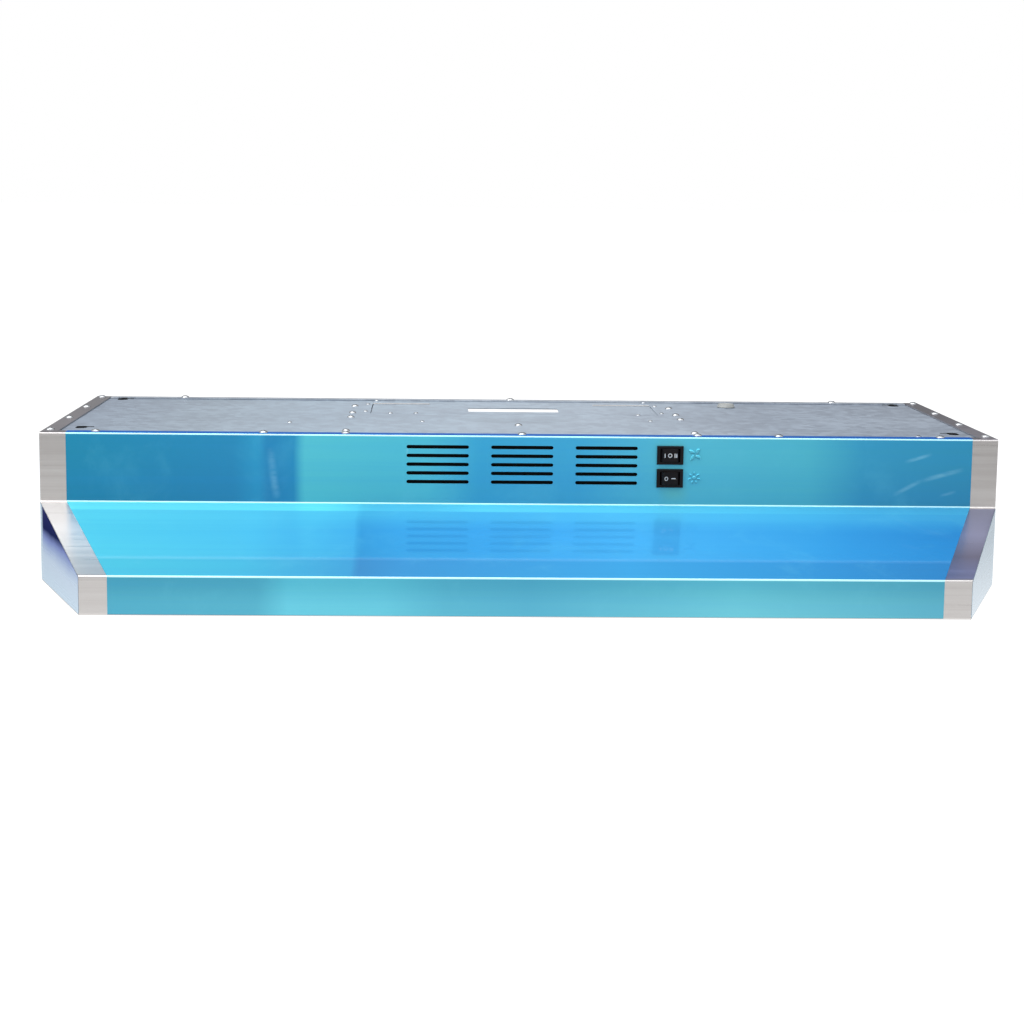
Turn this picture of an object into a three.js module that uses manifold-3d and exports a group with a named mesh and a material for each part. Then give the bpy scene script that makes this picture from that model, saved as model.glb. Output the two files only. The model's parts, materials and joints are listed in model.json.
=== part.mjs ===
// A 30 inch under-cabinet range hood: a folded sheet-steel canopy that still wears its protective film,
// a plenum blower hung from the top plate, two aluminium mesh filters, two lamps and two rocker switches.
// Millimetres, +Z up, the front faces -Y, and the origin is the centre of the base.
import * as THREE from "three";
import { mergeVertices } from "three/addons/utils/BufferGeometryUtils.js";
import Module from "manifold-3d";

const wasm = await Module();
wasm.setup();

// ---- Driving dimensions ----
const WIDTH = 760;
const DEPTH = 444.5;
const HEIGHT = 118;
const TOP_DEPTH = 300; // from the upright front face to the back
const FACE_FOOT = 63; // height at which the upright face meets the sloping visor
const LIP_WIDTH = 655;
const LIP_HEIGHT = 29.5;
const SHEET = 0.8;
const BEND = 1.6; // outside radius of a fold
const FLANGE = 13;
const GAP = 0.3; // air between pieces that touch
const FILM = 0.2;
const FILM_LIFT = 0.1;
const FILM_MARGIN = 20.5; // bare steel left beside the film

const BACK = DEPTH / 2;
const LIP = -DEPTH / 2;
const FACE = BACK - TOP_DEPTH;
const HALF = WIDTH / 2;
const LIP_HALF = LIP_WIDTH / 2;
const INSIDE = SHEET + GAP; // from an outer surface to the piece behind it
const VISOR_SLOPE = (FACE_FOOT - LIP_HEIGHT) / (FACE - LIP);
const BIG = 500; // longer than the hood, for cutting tools

// Louvres and switches on the upright face
const VENT = { groups: 3, rows: 5, width: 49.5, height: 2.8, pitchX: 67, pitchZ: 6.95, z: 94.8 };
const SWITCH = { x: 117.5, width: 21, height: 14.8, bezel: 2 };
const SWITCH_BODY = { width: 19, height: 12.8, depth: 17 };
const FAN_SWITCH_Z = 103.5;
const LIGHT_SWITCH_Z = 85.1;
const ROCKER = { radius: 7.6, height: 10.2, pivotDepth: 3.2, tilt: 9, pin: 1.2 };

// Top plate
const KEYHOLE = { x: 354.5, inset: 48, spread: 235, head: 4.6, reach: 4, neck: 2.4, length: 9.5 };
const DUCT = { width: 250, depth: 80, y: FACE + 216, slit: 0.7 };
const PRY_SLOT = { width: 80, depth: 32, y: FACE + 212 };
const REAR_SLIT = { x: 100, width: 52, y: FACE + 266.25 };
const CABLE_HOLE = { x: 195, y: FACE + 253, radius: 6.5, bore: 3.5 };
const REAR_OUTLET = { width: 254, height: 82.5, z: 69.25 };

// Underside
const PAN_Z = 9;
const FILTER = { width: 307, depth: 255, thick: 9, z: 2, front: -50, gap: 3, rim: 12, skin: 0.8 };
const FILTER_PIVOT_Y = 200.5;
const PLEATS = 22;
const PLEAT_SHEET = 0.9;
const FILTER_BAY = { width: 70, depth: 36 };
const LATCH = { width: 60, depth: 16.6, z0: 3.3, z1: 8.3, tongue: 26, reach: 1, room: 28 };
const PAN_OPENING = { halfWidth: 312, front: -54, back: 209 };
const LAMP = { x: 230, y: -128, radius: 28, depth: 16, rim: 33 };

// Blower
const BLOWER_Y = 20;
const FLOOR_Z = 26;
const PLENUM_HALF = 136;
const WHEEL = { radius: 85, inner: 70, bottom: 44, top: 93.5, plate: 1.5, blades: 24 };
const CUP = { radius: 45.5, floor: 54 };
const SHAFT_R = 4;
const MOTOR = { radius: 39, wall: 2, bottom: 58.5, top: 104 };
const MOUNT_RING = 62;
const BAFFLE_HALF = 101;
const PLATE_UNDER = HEIGHT - SHEET - INSIDE; // underside of the top plate

// ---- Finishes ----
function finish(color, roughness, metalness) {
  return new THREE.MeshStandardMaterial({ color, roughness, metalness });
}

const BRUSHED_STEEL = finish(0xb9b4b2, 0.35, 1);
const BLUE_FILM = finish(0x2f9ac8, 0.25, 0.5);
const CLEAR_BLUE_FILM = finish(0xa8c4dc, 0.2, 0.5);
const GALVANISED = finish(0x9aa3af, 0.45, 0.9);
const ALUMINIUM = finish(0xc8cacd, 0.4, 1);
const BLACK_PLASTIC = finish(0x141414, 0.4, 0);
const WHITE_PLASTIC = finish(0xe9e9e6, 0.4, 0);
const GREY_PLASTIC = finish(0x8f9296, 0.5, 0);
const RUBBER = finish(0x1b1b1b, 0.8, 0);
const COPPER_AND_IRON = finish(0x8a6a52, 0.5, 0.8);
const ZINC_STEEL = finish(0xd6d8da, 0.3, 1);
const FROSTED_LENS = finish(0xf3f4f2, 0.3, 0);
const BRONZE = finish(0xa97b45, 0.4, 1);

// ---- Making and joining solids ----
// A closed geometry as a solid that can be joined and cut.
function solid(geometry) {
  const bare = geometry.index ? geometry.toNonIndexed() : geometry.clone();
  bare.deleteAttribute("normal");
  bare.deleteAttribute("uv");
  const merged = mergeVertices(bare, 1e-4);
  const mesh = new wasm.Mesh({
    numProp: 3,
    vertProperties: merged.attributes.position.array,
    triVerts: new Uint32Array(merged.index.array),
  });
  return new wasm.Manifold(mesh);
}

// A solid as a geometry that a mesh can show.
function geometryOf(made) {
  const mesh = made.getMesh();
  const geometry = new THREE.BufferGeometry();
  geometry.setAttribute("position", new THREE.BufferAttribute(mesh.vertProperties, 3));
  geometry.setIndex(new THREE.BufferAttribute(mesh.triVerts, 1));
  geometry.computeVertexNormals();
  return geometry;
}

const joined = (...solids) => solids.reduce((whole, next) => whole.add(next));
const without = (whole, ...tools) => tools.reduce((left, tool) => left.subtract(tool), whole);

const X = new THREE.Vector3(1, 0, 0);
const Y = new THREE.Vector3(0, 1, 0);
const Z = new THREE.Vector3(0, 0, 1);
const PROFILE_YZ = new THREE.Matrix4().makeBasis(Y, Z, X);
const PROFILE_XZ = new THREE.Matrix4().makeBasis(X, Z, Y.clone().negate());

function extrusion(points, length) {
  const shape = new THREE.Shape(points.map(([a, b]) => new THREE.Vector2(a, b)));
  return new THREE.ExtrudeGeometry(shape, { depth: length, bevelEnabled: false });
}

// A profile of (y, z) points drawn out along X.
function alongX(points, x0, x1) {
  return solid(extrusion(points, x1 - x0).applyMatrix4(PROFILE_YZ).translate(x0, 0, 0));
}

// A profile of (x, z) points drawn out along Y.
function alongY(points, y0, y1) {
  return solid(extrusion(points, y1 - y0).applyMatrix4(PROFILE_XZ).translate(0, y1, 0));
}

// A profile of (x, y) points drawn out along Z.
const alongZ = (points, z0, z1) => solid(extrusion(points, z1 - z0).translate(0, 0, z0));

function block(x0, x1, y0, y1, z0, z1) {
  const box = new THREE.BoxGeometry(x1 - x0, y1 - y0, z1 - z0);
  return solid(box.translate((x0 + x1) / 2, (y0 + y1) / 2, (z0 + z1) / 2));
}

// A block about the plane x = middle.
const slab = (middle, half, y0, y1, z0, z1) => block(middle - half, middle + half, y0, y1, z0, z1);

// A block from x0 to x1 on the right-hand side, or its mirror image on the left.
function sideBlock(side, x0, x1, y0, y1, z0, z1) {
  return side > 0 ? block(x0, x1, y0, y1, z0, z1) : block(-x1, -x0, y0, y1, z0, z1);
}

// A profile of (radius, z) points turned about a vertical axis through (x, y).
function turned(profile, x, y, sides = 24) {
  const points = profile.map(([r, z]) => new THREE.Vector2(r, z));
  const geometry = new THREE.LatheGeometry(points, sides).applyMatrix4(PROFILE_XZ);
  return solid(geometry.translate(x, y, 0));
}

const ring = (inner, outer, z0, z1) => [[inner, z0], [outer, z0], [outer, z1], [inner, z1], [inner, z0]];

// An upright round rod or drill.
function rod(radius, x, y, z0, z1, sides = 12) {
  const cylinder = new THREE.CylinderGeometry(radius, radius, z1 - z0, sides).rotateX(Math.PI / 2);
  return solid(cylinder.translate(x, y, (z0 + z1) / 2));
}

// A slot with round ends, as (a, b) points about its centre.
function stadium(a, b, length, width, endSteps = 5) {
  const radius = width / 2;
  const straight = length / 2 - radius;
  const points = [];
  for (const side of [1, -1]) {
    for (let i = 0; i <= endSteps; i++) {
      const angle = -Math.PI / 2 + (Math.PI * i) / endSteps;
      points.push([a + side * (straight + radius * Math.cos(angle)), b + side * radius * Math.sin(angle)]);
    }
  }
  return points;
}

// The outline of a folded sheet. The path runs along one surface, and the sheet lies between `near`
// and `far` to the left of it. Each fold is an arc of radius BEND on the path.
function foldedSheet(path, near, far, foldSteps = 3) {
  const nearSide = [];
  const farSide = [];
  const place = (point, left) => {
    nearSide.push(point.clone().addScaledVector(left, near));
    farSide.push(point.clone().addScaledVector(left, far));
  };
  const corners = path.map(([a, b]) => new THREE.Vector2(a, b));
  const leftOf = (direction) => new THREE.Vector2(-direction.y, direction.x);
  corners.forEach((corner, i) => {
    const before = corners[i - 1] && corner.clone().sub(corners[i - 1]).normalize();
    const after = corners[i + 1] && corners[i + 1].clone().sub(corner).normalize();
    if (!before || !after) {
      place(corner, leftOf(before ?? after));
      return;
    }
    const turn = Math.atan2(before.cross(after), before.dot(after));
    const side = Math.sign(turn);
    const start = corner.clone().addScaledVector(before, -BEND * Math.tan(Math.abs(turn) / 2));
    const centre = start.clone().addScaledVector(leftOf(before), side * BEND);
    for (let k = 0; k <= foldSteps; k++) {
      const left = leftOf(before).rotateAround(new THREE.Vector2(), (turn * k) / foldSteps);
      place(centre.clone().addScaledVector(left, -side * BEND), left);
    }
  });
  return [...nearSide, ...farSide.reverse()].map((p) => [p.x, p.y]);
}

// A round wire through the points, drawn out of one section.
function wire(points, radius, steps) {
  const route = new THREE.CatmullRomCurve3(points.map((p) => new THREE.Vector3(...p)));
  const section = new THREE.Shape(
    new THREE.EllipseCurve(0, 0, radius, radius).getPoints(8).slice(0, 8),
  );
  return solid(new THREE.ExtrudeGeometry(section, { steps, extrudePath: route, bevelEnabled: false }));
}

// ---- The canopy's outline ----
const FRONT_PATH = [
  [FACE + FLANGE, HEIGHT],
  [FACE, HEIGHT],
  [FACE, FACE_FOOT],
  [LIP, LIP_HEIGHT],
  [LIP, 0],
  [LIP + FLANGE, 0],
];

// Half the canopy's width at depth y: straight sides, then corners cut back to the narrower lip.
function halfWidthAt(y) {
  const taper = Math.max(0, FACE - y) / (FACE - LIP);
  return HALF + (LIP_HALF - HALF) * taper;
}

// The plan of the canopy, drawn in by `inset` at the sides, as an upright prism.
function planPrism(inset, z0, z1, front = LIP - 5, back = BACK + 5) {
  const right = [[front, halfWidthAt(front)], [FACE, HALF], [back, HALF]].map(([y, x]) => [x - inset, y]);
  const left = right.map(([x, y]) => [-x, y]).reverse();
  return alongZ([...right, ...left], z0, z1);
}

// Everything in front of and above a surface that lies `depth` behind the front panel's outer face.
function frontRoom(depth) {
  const visorAt = (y) => FACE_FOOT + (y - FACE) * VISOR_SLOPE - depth * Math.hypot(1, VISOR_SLOPE);
  const profile = [
    [FACE + depth, HEIGHT + 5],
    [FACE + depth, visorAt(FACE + depth)],
    [LIP + depth, visorAt(LIP + depth)],
    [LIP + depth, -5],
    [LIP - 10, -5],
    [LIP - 10, HEIGHT + 5],
  ];
  return alongX(profile, -BIG, BIG);
}

// ---- Canopy ----
function ventSlots(y0, y1) {
  const slots = [];
  for (let group = 0; group < VENT.groups; group++) {
    const x = (group - (VENT.groups - 1) / 2) * VENT.pitchX;
    for (let row = 0; row < VENT.rows; row++) {
      const z = VENT.z + (row - (VENT.rows - 1) / 2) * VENT.pitchZ;
      slots.push(alongY(stadium(x, z, VENT.width, VENT.height), y0, y1));
    }
  }
  return slots;
}

function switchHoles(y0, y1) {
  const halfHeight = SWITCH_BODY.height / 2 + GAP;
  return [FAN_SWITCH_Z, LIGHT_SWITCH_Z].map((z) =>
    slab(SWITCH.x, SWITCH_BODY.width / 2 + GAP, y0, y1, z - halfHeight, z + halfHeight),
  );
}

function frontPanel() {
  const folded = alongX(foldedSheet(FRONT_PATH, 0, SHEET), -HALF, HALF);
  const topCorner = HALF - FLANGE - GAP;
  const cornerRooms = [-1, 1].map((side) =>
    sideBlock(side, topCorner, BIG, FACE + SHEET, BACK, HEIGHT - 5, HEIGHT + 5),
  );
  // The folded-in foot of the lip stays clear of the side panels' walls.
  const lipRoom = slab(0, BIG, LIP - 10, LIP + SHEET, -6, 6);
  const footRoom = without(planPrism(-5, -5, 5), planPrism(2 * INSIDE, -6, 6), lipRoom);
  const openings = [...ventSlots(FACE - 5, FACE + 5), ...switchHoles(FACE - 5, FACE + 5)];
  return without(folded.intersect(planPrism(0, -5, HEIGHT + 5)), footRoom, ...cornerRooms, ...openings);
}

// The film follows the front panel's outside, and stops FILM_MARGIN short of each end.
function frontFilm() {
  const path = [[FACE + FLANGE - 1, HEIGHT], ...FRONT_PATH.slice(1, 4), [LIP, 1]];
  const skin = alongX(foldedSheet(path, -FILM_LIFT - FILM, -FILM_LIFT), -HALF, HALF);
  const openings = [...ventSlots(FACE - 5, FACE + 5), ...switchHoles(FACE - 5, FACE + 5)];
  return without(skin.intersect(planPrism(FILM_MARGIN, -5, HEIGHT + 5)), ...openings);
}

// The side panel's plan, between `near` and `far` behind its outer face. Left is -1 and right is 1.
function sideStrip(side, near, far, z0, z1) {
  const path = [[side * HALF, BACK], [side * HALF, FACE], [side * LIP_HALF, LIP]];
  const [a, b] = side < 0 ? [near, far] : [-far, -near];
  return alongZ(foldedSheet(path, a, b), z0, z1);
}

function sidePanel(side) {
  const wall = sideStrip(side, 0, SHEET, 0, HEIGHT);
  const topFlange = sideBlock(side, HALF - FLANGE, HALF, FACE + 2, BACK - 2, HEIGHT - SHEET, HEIGHT);
  const foot = without(
    sideStrip(side, 0, FLANGE, 0, SHEET),
    slab(0, BIG, LIP - 10, LIP + FLANGE + GAP, -5, 5),
    without(slab(0, BIG, BACK - 2, BACK + 5, -5, 5), sideStrip(side, -1, SHEET, -5, 5)),
  );
  return without(joined(wall, foot), frontRoom(INSIDE)).add(topFlange);
}

function sideFilm(side) {
  const skin = sideStrip(side, -FILM_LIFT - FILM, -FILM_LIFT, 1, HEIGHT - 1);
  return without(skin, frontRoom(INSIDE), slab(0, BIG, BACK - 1, BACK + 5, -5, BIG));
}

// A long head for the screw to pass, and a neck that leads inwards from its rear end.
function keyhole(side, y) {
  const { x, head, reach, neck, length } = KEYHOLE;
  const [z0, z1] = [HEIGHT - 10, HEIGHT + 10];
  return joined(
    rod(head, side * x, y - reach, z0, z1),
    rod(head, side * x, y + reach, z0, z1),
    sideBlock(side, x - head, x + head, y - reach, y + reach, z0, z1),
    sideBlock(side, x - length, x, y + reach - neck, y + reach + neck, z0, z1),
  );
}

function topPanel() {
  const halfWidth = HALF - INSIDE - GAP;
  const edge = INSIDE + GAP;
  const plate = slab(0, halfWidth, FACE + edge, BACK - edge, PLATE_UNDER, PLATE_UNDER + SHEET);
  const keyholes = [-1, 1].flatMap((side) => [
    keyhole(side, FACE + KEYHOLE.inset),
    keyhole(side, FACE + KEYHOLE.inset + KEYHOLE.spread),
  ]);
  const ductReach = DUCT.depth / 2 + DUCT.slit;
  const ductHole = slab(0, DUCT.width / 2 + DUCT.slit, DUCT.y - ductReach, DUCT.y + ductReach, 0, BIG);
  const cableHole = rod(CABLE_HOLE.radius, CABLE_HOLE.x, CABLE_HOLE.y, 0, BIG, 24);
  const slits = [-1, 1].map((side) => {
    const middle = side * REAR_SLIT.x;
    return block(middle - REAR_SLIT.width / 2, middle + REAR_SLIT.width / 2, DUCT.y, REAR_SLIT.y, 0, BIG);
  });
  return without(plate, ductHole, cableHole, ...slits, ...keyholes);
}

// The punched-out cover of the upward duct, still in its hole, with an open slot to lever it out by.
function ductKnockout() {
  const { width, depth, y } = DUCT;
  const plate = slab(0, width / 2, y - depth / 2, y + depth / 2, PLATE_UNDER, PLATE_UNDER + SHEET);
  const reach = PRY_SLOT.depth / 2;
  return without(plate, slab(0, PRY_SLOT.width / 2, PRY_SLOT.y - reach, PRY_SLOT.y + reach, 0, BIG));
}

function backPanel() {
  const path = [[BACK - FLANGE, HEIGHT], [BACK, HEIGHT], [BACK, 0], [BACK - FLANGE, 0]];
  const halfWidth = HALF - INSIDE;
  const folded = alongX(foldedSheet(path, -SHEET, 0), -halfWidth, halfWidth);
  const corner = HALF - FLANGE - GAP;
  const cornerRooms = [-1, 1].flatMap((side) => [
    sideBlock(side, corner, BIG, 0, BACK - BEND, HEIGHT - 5, HEIGHT + 5),
    sideBlock(side, corner, BIG, 0, BACK - BEND, -5, 5),
  ]);
  const { width, height, z } = REAR_OUTLET;
  const outlet = slab(0, width / 2, BACK - 5, BACK + 5, z - height / 2, z + height / 2);
  const { x, head, reach, length } = KEYHOLE;
  const keyholeEnd = FACE + KEYHOLE.inset + KEYHOLE.spread + reach + head + GAP;
  const keyholeRooms = [-1, 1].map((side) =>
    sideBlock(side, x - length - GAP, x + head + GAP, 0, keyholeEnd, HEIGHT - 5, HEIGHT + 5),
  );
  return without(folded, outlet, ...cornerRooms, ...keyholeRooms);
}

// ---- Underside ----
function bottomPan() {
  const inset = 2 * INSIDE;
  const back = BACK - inset;
  const top = PAN_Z + SHEET;
  const edge = HALF - inset;
  const plate = planPrism(inset, PAN_Z, top, LIP + inset, back);
  const filterHole = slab(0, PAN_OPENING.halfWidth, PAN_OPENING.front, PAN_OPENING.back, 0, 20);
  const lampHoles = [-1, 1].map((side) => rod(LAMP.radius + 1.5, side * LAMP.x, LAMP.y, 0, 20, 32));
  const rearHem = slab(0, HALF - FLANGE, back - SHEET, back, INSIDE, top);
  const sideHems = [-1, 1].map((side) =>
    sideBlock(side, edge - SHEET, edge, FACE + 5, BACK - FLANGE, INSIDE, top),
  );
  return without(joined(plate, rearHem, ...sideHems), filterHole, ...lampHoles);
}

// Each rail hangs under the pan along the opening. The rear one is the shelf that the filters pivot on.
function rearFilterRail() {
  const top = PAN_Z - GAP;
  const shelf = FILTER.z - GAP;
  const back = PAN_OPENING.back;
  const profile = [
    [back + 7, top], [back + 7, top - SHEET], [back, top - SHEET], [back, shelf - SHEET],
    [FILTER_PIVOT_Y, shelf - SHEET], [FILTER_PIVOT_Y, shelf], [back - SHEET, shelf], [back - SHEET, top],
  ];
  return alongX(profile, -PAN_OPENING.halfWidth, PAN_OPENING.halfWidth);
}

function frontFilterRail() {
  const top = PAN_Z - GAP;
  const shelf = LATCH.z0 + 1;
  const front = PAN_OPENING.front;
  const tip = FILTER.front - LATCH.reach - 0.4;
  const profile = [
    [front - 8, top - SHEET], [front, top - SHEET], [front, shelf - SHEET],
    [tip, shelf - SHEET], [tip, shelf], [front + SHEET, shelf], [front + SHEET, top], [front - 8, top],
  ];
  return alongX(profile, -PAN_OPENING.halfWidth, PAN_OPENING.halfWidth);
}

const filterX = (side) => side * (FILTER.gap + FILTER.width) / 2;

// The filter's outer block, drawn in by `inset` all round.
function filterBlock(side, inset) {
  const { width, depth, front, z, thick } = FILTER;
  return slab(
    filterX(side), width / 2 - inset, front + inset, front + depth - inset, z + inset, z + thick - inset,
  );
}

function latchBay(side, grow) {
  const { front, z, thick } = FILTER;
  return slab(
    filterX(side), FILTER_BAY.width / 2 + grow, front - grow, front + FILTER_BAY.depth + grow, z, z + thick,
  );
}

// A channel frame round the mesh, with a solid bay in its front rail for the latch.
function filterFrame(side) {
  const x = filterX(side);
  const { width, depth, front, rim, skin } = FILTER;
  const windowHole = slab(x, width / 2 - rim, front + rim, front + depth - rim, 0, 20);
  const channel = without(filterBlock(side, 0), filterBlock(side, skin), windowHole);
  const start = front + 2;
  const roof = LATCH.z1 + GAP;
  const latchRoom = slab(x, LATCH.width / 2 + GAP, start, start + LATCH.room, LATCH.z0 - GAP, roof);
  const fingerHole = slab(x, 25, start + 4, start + LATCH.room - 4, 0, LATCH.z0);
  const tongueSlot = slab(x, LATCH.tongue / 2 + GAP, front - 5, start + 1, LATCH.z0 + 1.2, roof);
  return without(joined(channel, latchBay(side, 0)), latchRoom, fingerHole, tongueSlot);
}

// Expanded aluminium, pleated to fill the depth of the channel.
function filterMesh(side) {
  const inset = FILTER.skin + GAP;
  const x0 = filterX(side) - FILTER.width / 2 + inset;
  const length = FILTER.width - 2 * inset;
  const low = FILTER.z + inset;
  const high = FILTER.z + FILTER.thick - inset;
  const folds = 2 * PLEATS;
  const edge = (lift) => Array.from({ length: folds + 1 }, (_, i) => {
    const crest = i % 2 ? high - PLEAT_SHEET : low;
    return [x0 + (length * i) / folds, crest + lift];
  });
  const sheet = alongY(
    [...edge(0), ...edge(PLEAT_SHEET).reverse()],
    FILTER.front + inset, FILTER.front + FILTER.depth - inset,
  );
  return without(sheet, latchBay(side, GAP));
}

function filterLatch(side) {
  const x = filterX(side);
  const front = FILTER.front + 2 + GAP;
  const { width, depth, z0, z1, tongue, reach } = LATCH;
  const body = slab(x, width / 2, front, front + depth, z0, z1);
  const nose = slab(x, tongue / 2, FILTER.front - reach, front + 1, z0 + 1.5, z1);
  const fingerWell = alongZ(stadium(x, front + depth / 2 + 1, 38, 9), z0 - 1, z1 - 1.2);
  return without(joined(body, nose), fingerWell);
}

// A wave-shaped leaf spring between the latch and the back of its bay.
function latchSpring(side) {
  const x = filterX(side);
  const y0 = FILTER.front + 2 + GAP + LATCH.depth + GAP;
  const y1 = FILTER.front + 2 + LATCH.room - GAP;
  const swing = (y1 - y0 - 0.5) / 2;
  const waves = 3;
  const halfWidth = 22;
  const steps = 24;
  const edge = (offset) => Array.from({ length: steps + 1 }, (_, i) => {
    const t = i / steps;
    const bow = swing * Math.cos(2 * Math.PI * waves * t);
    return [x - halfWidth + 2 * halfWidth * t, (y0 + y1) / 2 + bow + offset];
  });
  return alongZ([...edge(-0.25), ...edge(0.25).reverse()], LATCH.z0 + 0.8, LATCH.z1 - 0.8);
}

// ---- Lamps ----
function lampHousing(side) {
  const { x, y, radius, depth, rim } = LAMP;
  const under = PAN_Z - GAP;
  const wall = radius + 1;
  const profile = [
    [radius, under - 1.3], [rim, under - 1.3], [rim, under], [wall, under], [wall, under + depth],
    [0, under + depth], [0, under + depth - 1], [radius, under + depth - 1], [radius, under - 1.3],
  ];
  return turned(profile, side * x, y, 32);
}

function lampBoard(side) {
  const top = PAN_Z - GAP + LAMP.depth - 1 - GAP;
  return rod(LAMP.radius - 2, side * LAMP.x, LAMP.y, top - 1.6, top, 24);
}

// A shallow frosted dome with a skirt that goes up into the housing.
function lampLens(side) {
  const r = LAMP.radius - GAP;
  const base = PAN_Z - GAP - 1.3;
  const dome = [[0, base - 3.4], [r * 0.45, base - 3], [r * 0.8, base - 1.7], [r, base]];
  const profile = [...dome, [r, base + 4], [r - 1.2, base + 4], [r - 1.2, base + 0.6], [0, base - 1.8]];
  return turned(profile, side * LAMP.x, LAMP.y, 32);
}

// ---- Switches ----
const SWITCH_FRONT = FACE - FILM_LIFT - FILM - FILM_LIFT;
const PIVOT_Y = SWITCH_FRONT - SWITCH.bezel + ROCKER.pivotDepth;

// A snap-in housing with a bezel, a well for the rocker, a pivot hole through each side and flat terminals.
function switchBody(z, poles) {
  const { x, width, height, bezel } = SWITCH;
  const front = SWITCH_FRONT - bezel;
  const back = FACE + SWITCH_BODY.depth;
  const bodyHalf = SWITCH_BODY.height / 2;
  const bezelPlate = slab(x, width / 2, front, SWITCH_FRONT, z - height / 2, z + height / 2);
  const housing = slab(x, SWITCH_BODY.width / 2, SWITCH_FRONT - 1, back, z - bodyHalf, z + bodyHalf);
  const wellHalf = ROCKER.height / 2 + GAP;
  const well = slab(x, ROCKER.radius + GAP, front - 1, back - 3, z - wellHalf, z + wellHalf);
  const pivotHole = rod(ROCKER.pin + GAP, x, PIVOT_Y, z - height, z + height, 12);
  const terminals = Array.from({ length: poles }, (_, i) =>
    slab(x + (i - (poles - 1) / 2) * 6.5, 0.4, back - 1, back + 7, z - 2.4, z + 2.4),
  );
  return without(joined(bezelPlate, housing, ...terminals), well, pivotHole);
}

// The rocker's top is a shallow V, its ends are arcs about the pivot, and a pin stands out of each side.
function switchRocker() {
  const { radius, height, pin } = ROCKER;
  const middle = -ROCKER.pivotDepth - 0.6;
  const end = middle - 1.5;
  const sweep = Math.atan2(end, Math.sqrt(radius * radius - end * end));
  const arc = Array.from({ length: 7 }, (_, i) => {
    const angle = sweep + (0.5 - sweep) * (i / 6);
    return [radius * Math.cos(angle), radius * Math.sin(angle)];
  });
  const mirror = arc.map(([a, b]) => [-a, b]).reverse();
  const cap = alongZ([...arc, ...mirror, [0, middle]], -height / 2, height / 2);
  const pins = rod(pin, 0, 0, -SWITCH_BODY.height / 2 + 0.2, SWITCH_BODY.height / 2 - 0.2, 12);
  return joined(cap, pins);
}

// ---- Blower ----
function blowerFloor() {
  const halfWidth = PLENUM_HALF + 10;
  const plate = block(-halfWidth, halfWidth, FACE + 3, BACK - 3, FLOOR_Z, FLOOR_Z + SHEET);
  return without(plate, rod(65, 0, BLOWER_Y, 0, 50, 40));
}

// The bell mouth that leads air into the wheel.
function inletRing() {
  const base = FLOOR_Z + INSIDE;
  const profile = [
    [66, base], [74, base], [74, base + 1.2], [67, base + 1.2],
    [64, base + 4], [63.2, base + 13], [61.8, base + 13], [62.2, base + 3.4], [66, base],
  ];
  return turned(profile, 0, BLOWER_Y, 40);
}

// An upright wall with a flange along its top, screwed up into the top plate.
// Wires pass through the right-hand one.
function plenumWall(side) {
  const top = PLATE_UNDER - GAP;
  const foot = FLOOR_Z + INSIDE;
  const inner = PLENUM_HALF;
  const wall = joined(
    sideBlock(side, inner, inner + SHEET, FACE + 3, BACK - 3, foot, top),
    sideBlock(side, inner, inner + 10, FACE + 3, BACK - 3, top - SHEET, top),
  );
  const wireHoles = [[MOTOR_LEAD_Y, LEAD_Z], [SWITCH_LEAD_Y, SWITCH_LEAD_Z]].map(([y, z]) =>
    alongX(stadium(y, z, 9, 8.9, 6), -BIG, BIG),
  );
  return side > 0 ? without(wall, ...wireHoles) : wall;
}

// A plate close behind the louvres shuts them off while the hood blows into a duct.
function louvreBaffle() {
  const z0 = FLOOR_Z + INSIDE + GAP;
  const path = [[FACE + 11, PLATE_UNDER - GAP], [FACE + 3, PLATE_UNDER - GAP], [FACE + 3, z0]];
  return alongX(foldedSheet(path, 0, SHEET), -BAFFLE_HALF, BAFFLE_HALF);
}

// A forward-curved wheel: the hub is a cup that the motor hangs in, and the blades stand between two rings.
function impeller() {
  const { radius, inner, bottom, top, plate, blades } = WHEEL;
  const bore = SHAFT_R + GAP;
  const hub = [
    [bore, 50], [10, 50], [10, CUP.floor], [CUP.radius, CUP.floor], [CUP.radius, top - plate],
    [radius, top - plate], [radius, top], [CUP.radius - plate, top],
    [CUP.radius - plate, CUP.floor + plate], [10, CUP.floor + plate], [10, 57], [bore, 57], [bore, 50],
  ];
  const rim = turned(ring(inner - 1, radius, bottom, bottom + plate), 0, 0, 36);
  const parts = [turned(hub, 0, 0, 36), rim];
  const outline = [
    [inner, 0], [inner + 7, -2.4], [radius - 0.8, -8],
    [radius - 0.8, -6.8], [inner + 7, -1.2], [inner, 1.2],
  ];
  const blade = alongZ(outline, bottom + 0.5, top - 0.5);
  for (let i = 0; i < blades; i++) parts.push(blade.rotate([0, 0, (360 * i) / blades]));
  return joined(...parts).translate([0, BLOWER_Y, 0]);
}

function hubNut() {
  return without(rod(7.5, 0, BLOWER_Y, 44.4, 49.7, 6), rod(SHAFT_R + GAP, 0, BLOWER_Y, 0, BIG));
}

const motorShaft = () => rod(SHAFT_R, 0, BLOWER_Y, 41, MOTOR.top + 8, 16);
const motorRotor = () => turned(ring(SHAFT_R + GAP, 20, 67, 96), 0, BLOWER_Y);
const motorBearing = (z0, z1) => turned(ring(SHAFT_R + GAP, 9.3, z0, z1), 0, BLOWER_Y);

// The laminated ring with its windings standing out above and below.
function motorStator() {
  const outer = MOTOR.radius - MOTOR.wall - GAP;
  const profile = [
    [20.6, 68], [23, 68], [23, 63], [33, 63], [33, 68], [outer, 68], [outer, 95],
    [33, 95], [33, 100], [23, 100], [23, 95], [20.6, 95], [20.6, 68],
  ];
  return turned(profile, 0, BLOWER_Y, 32);
}

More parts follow.
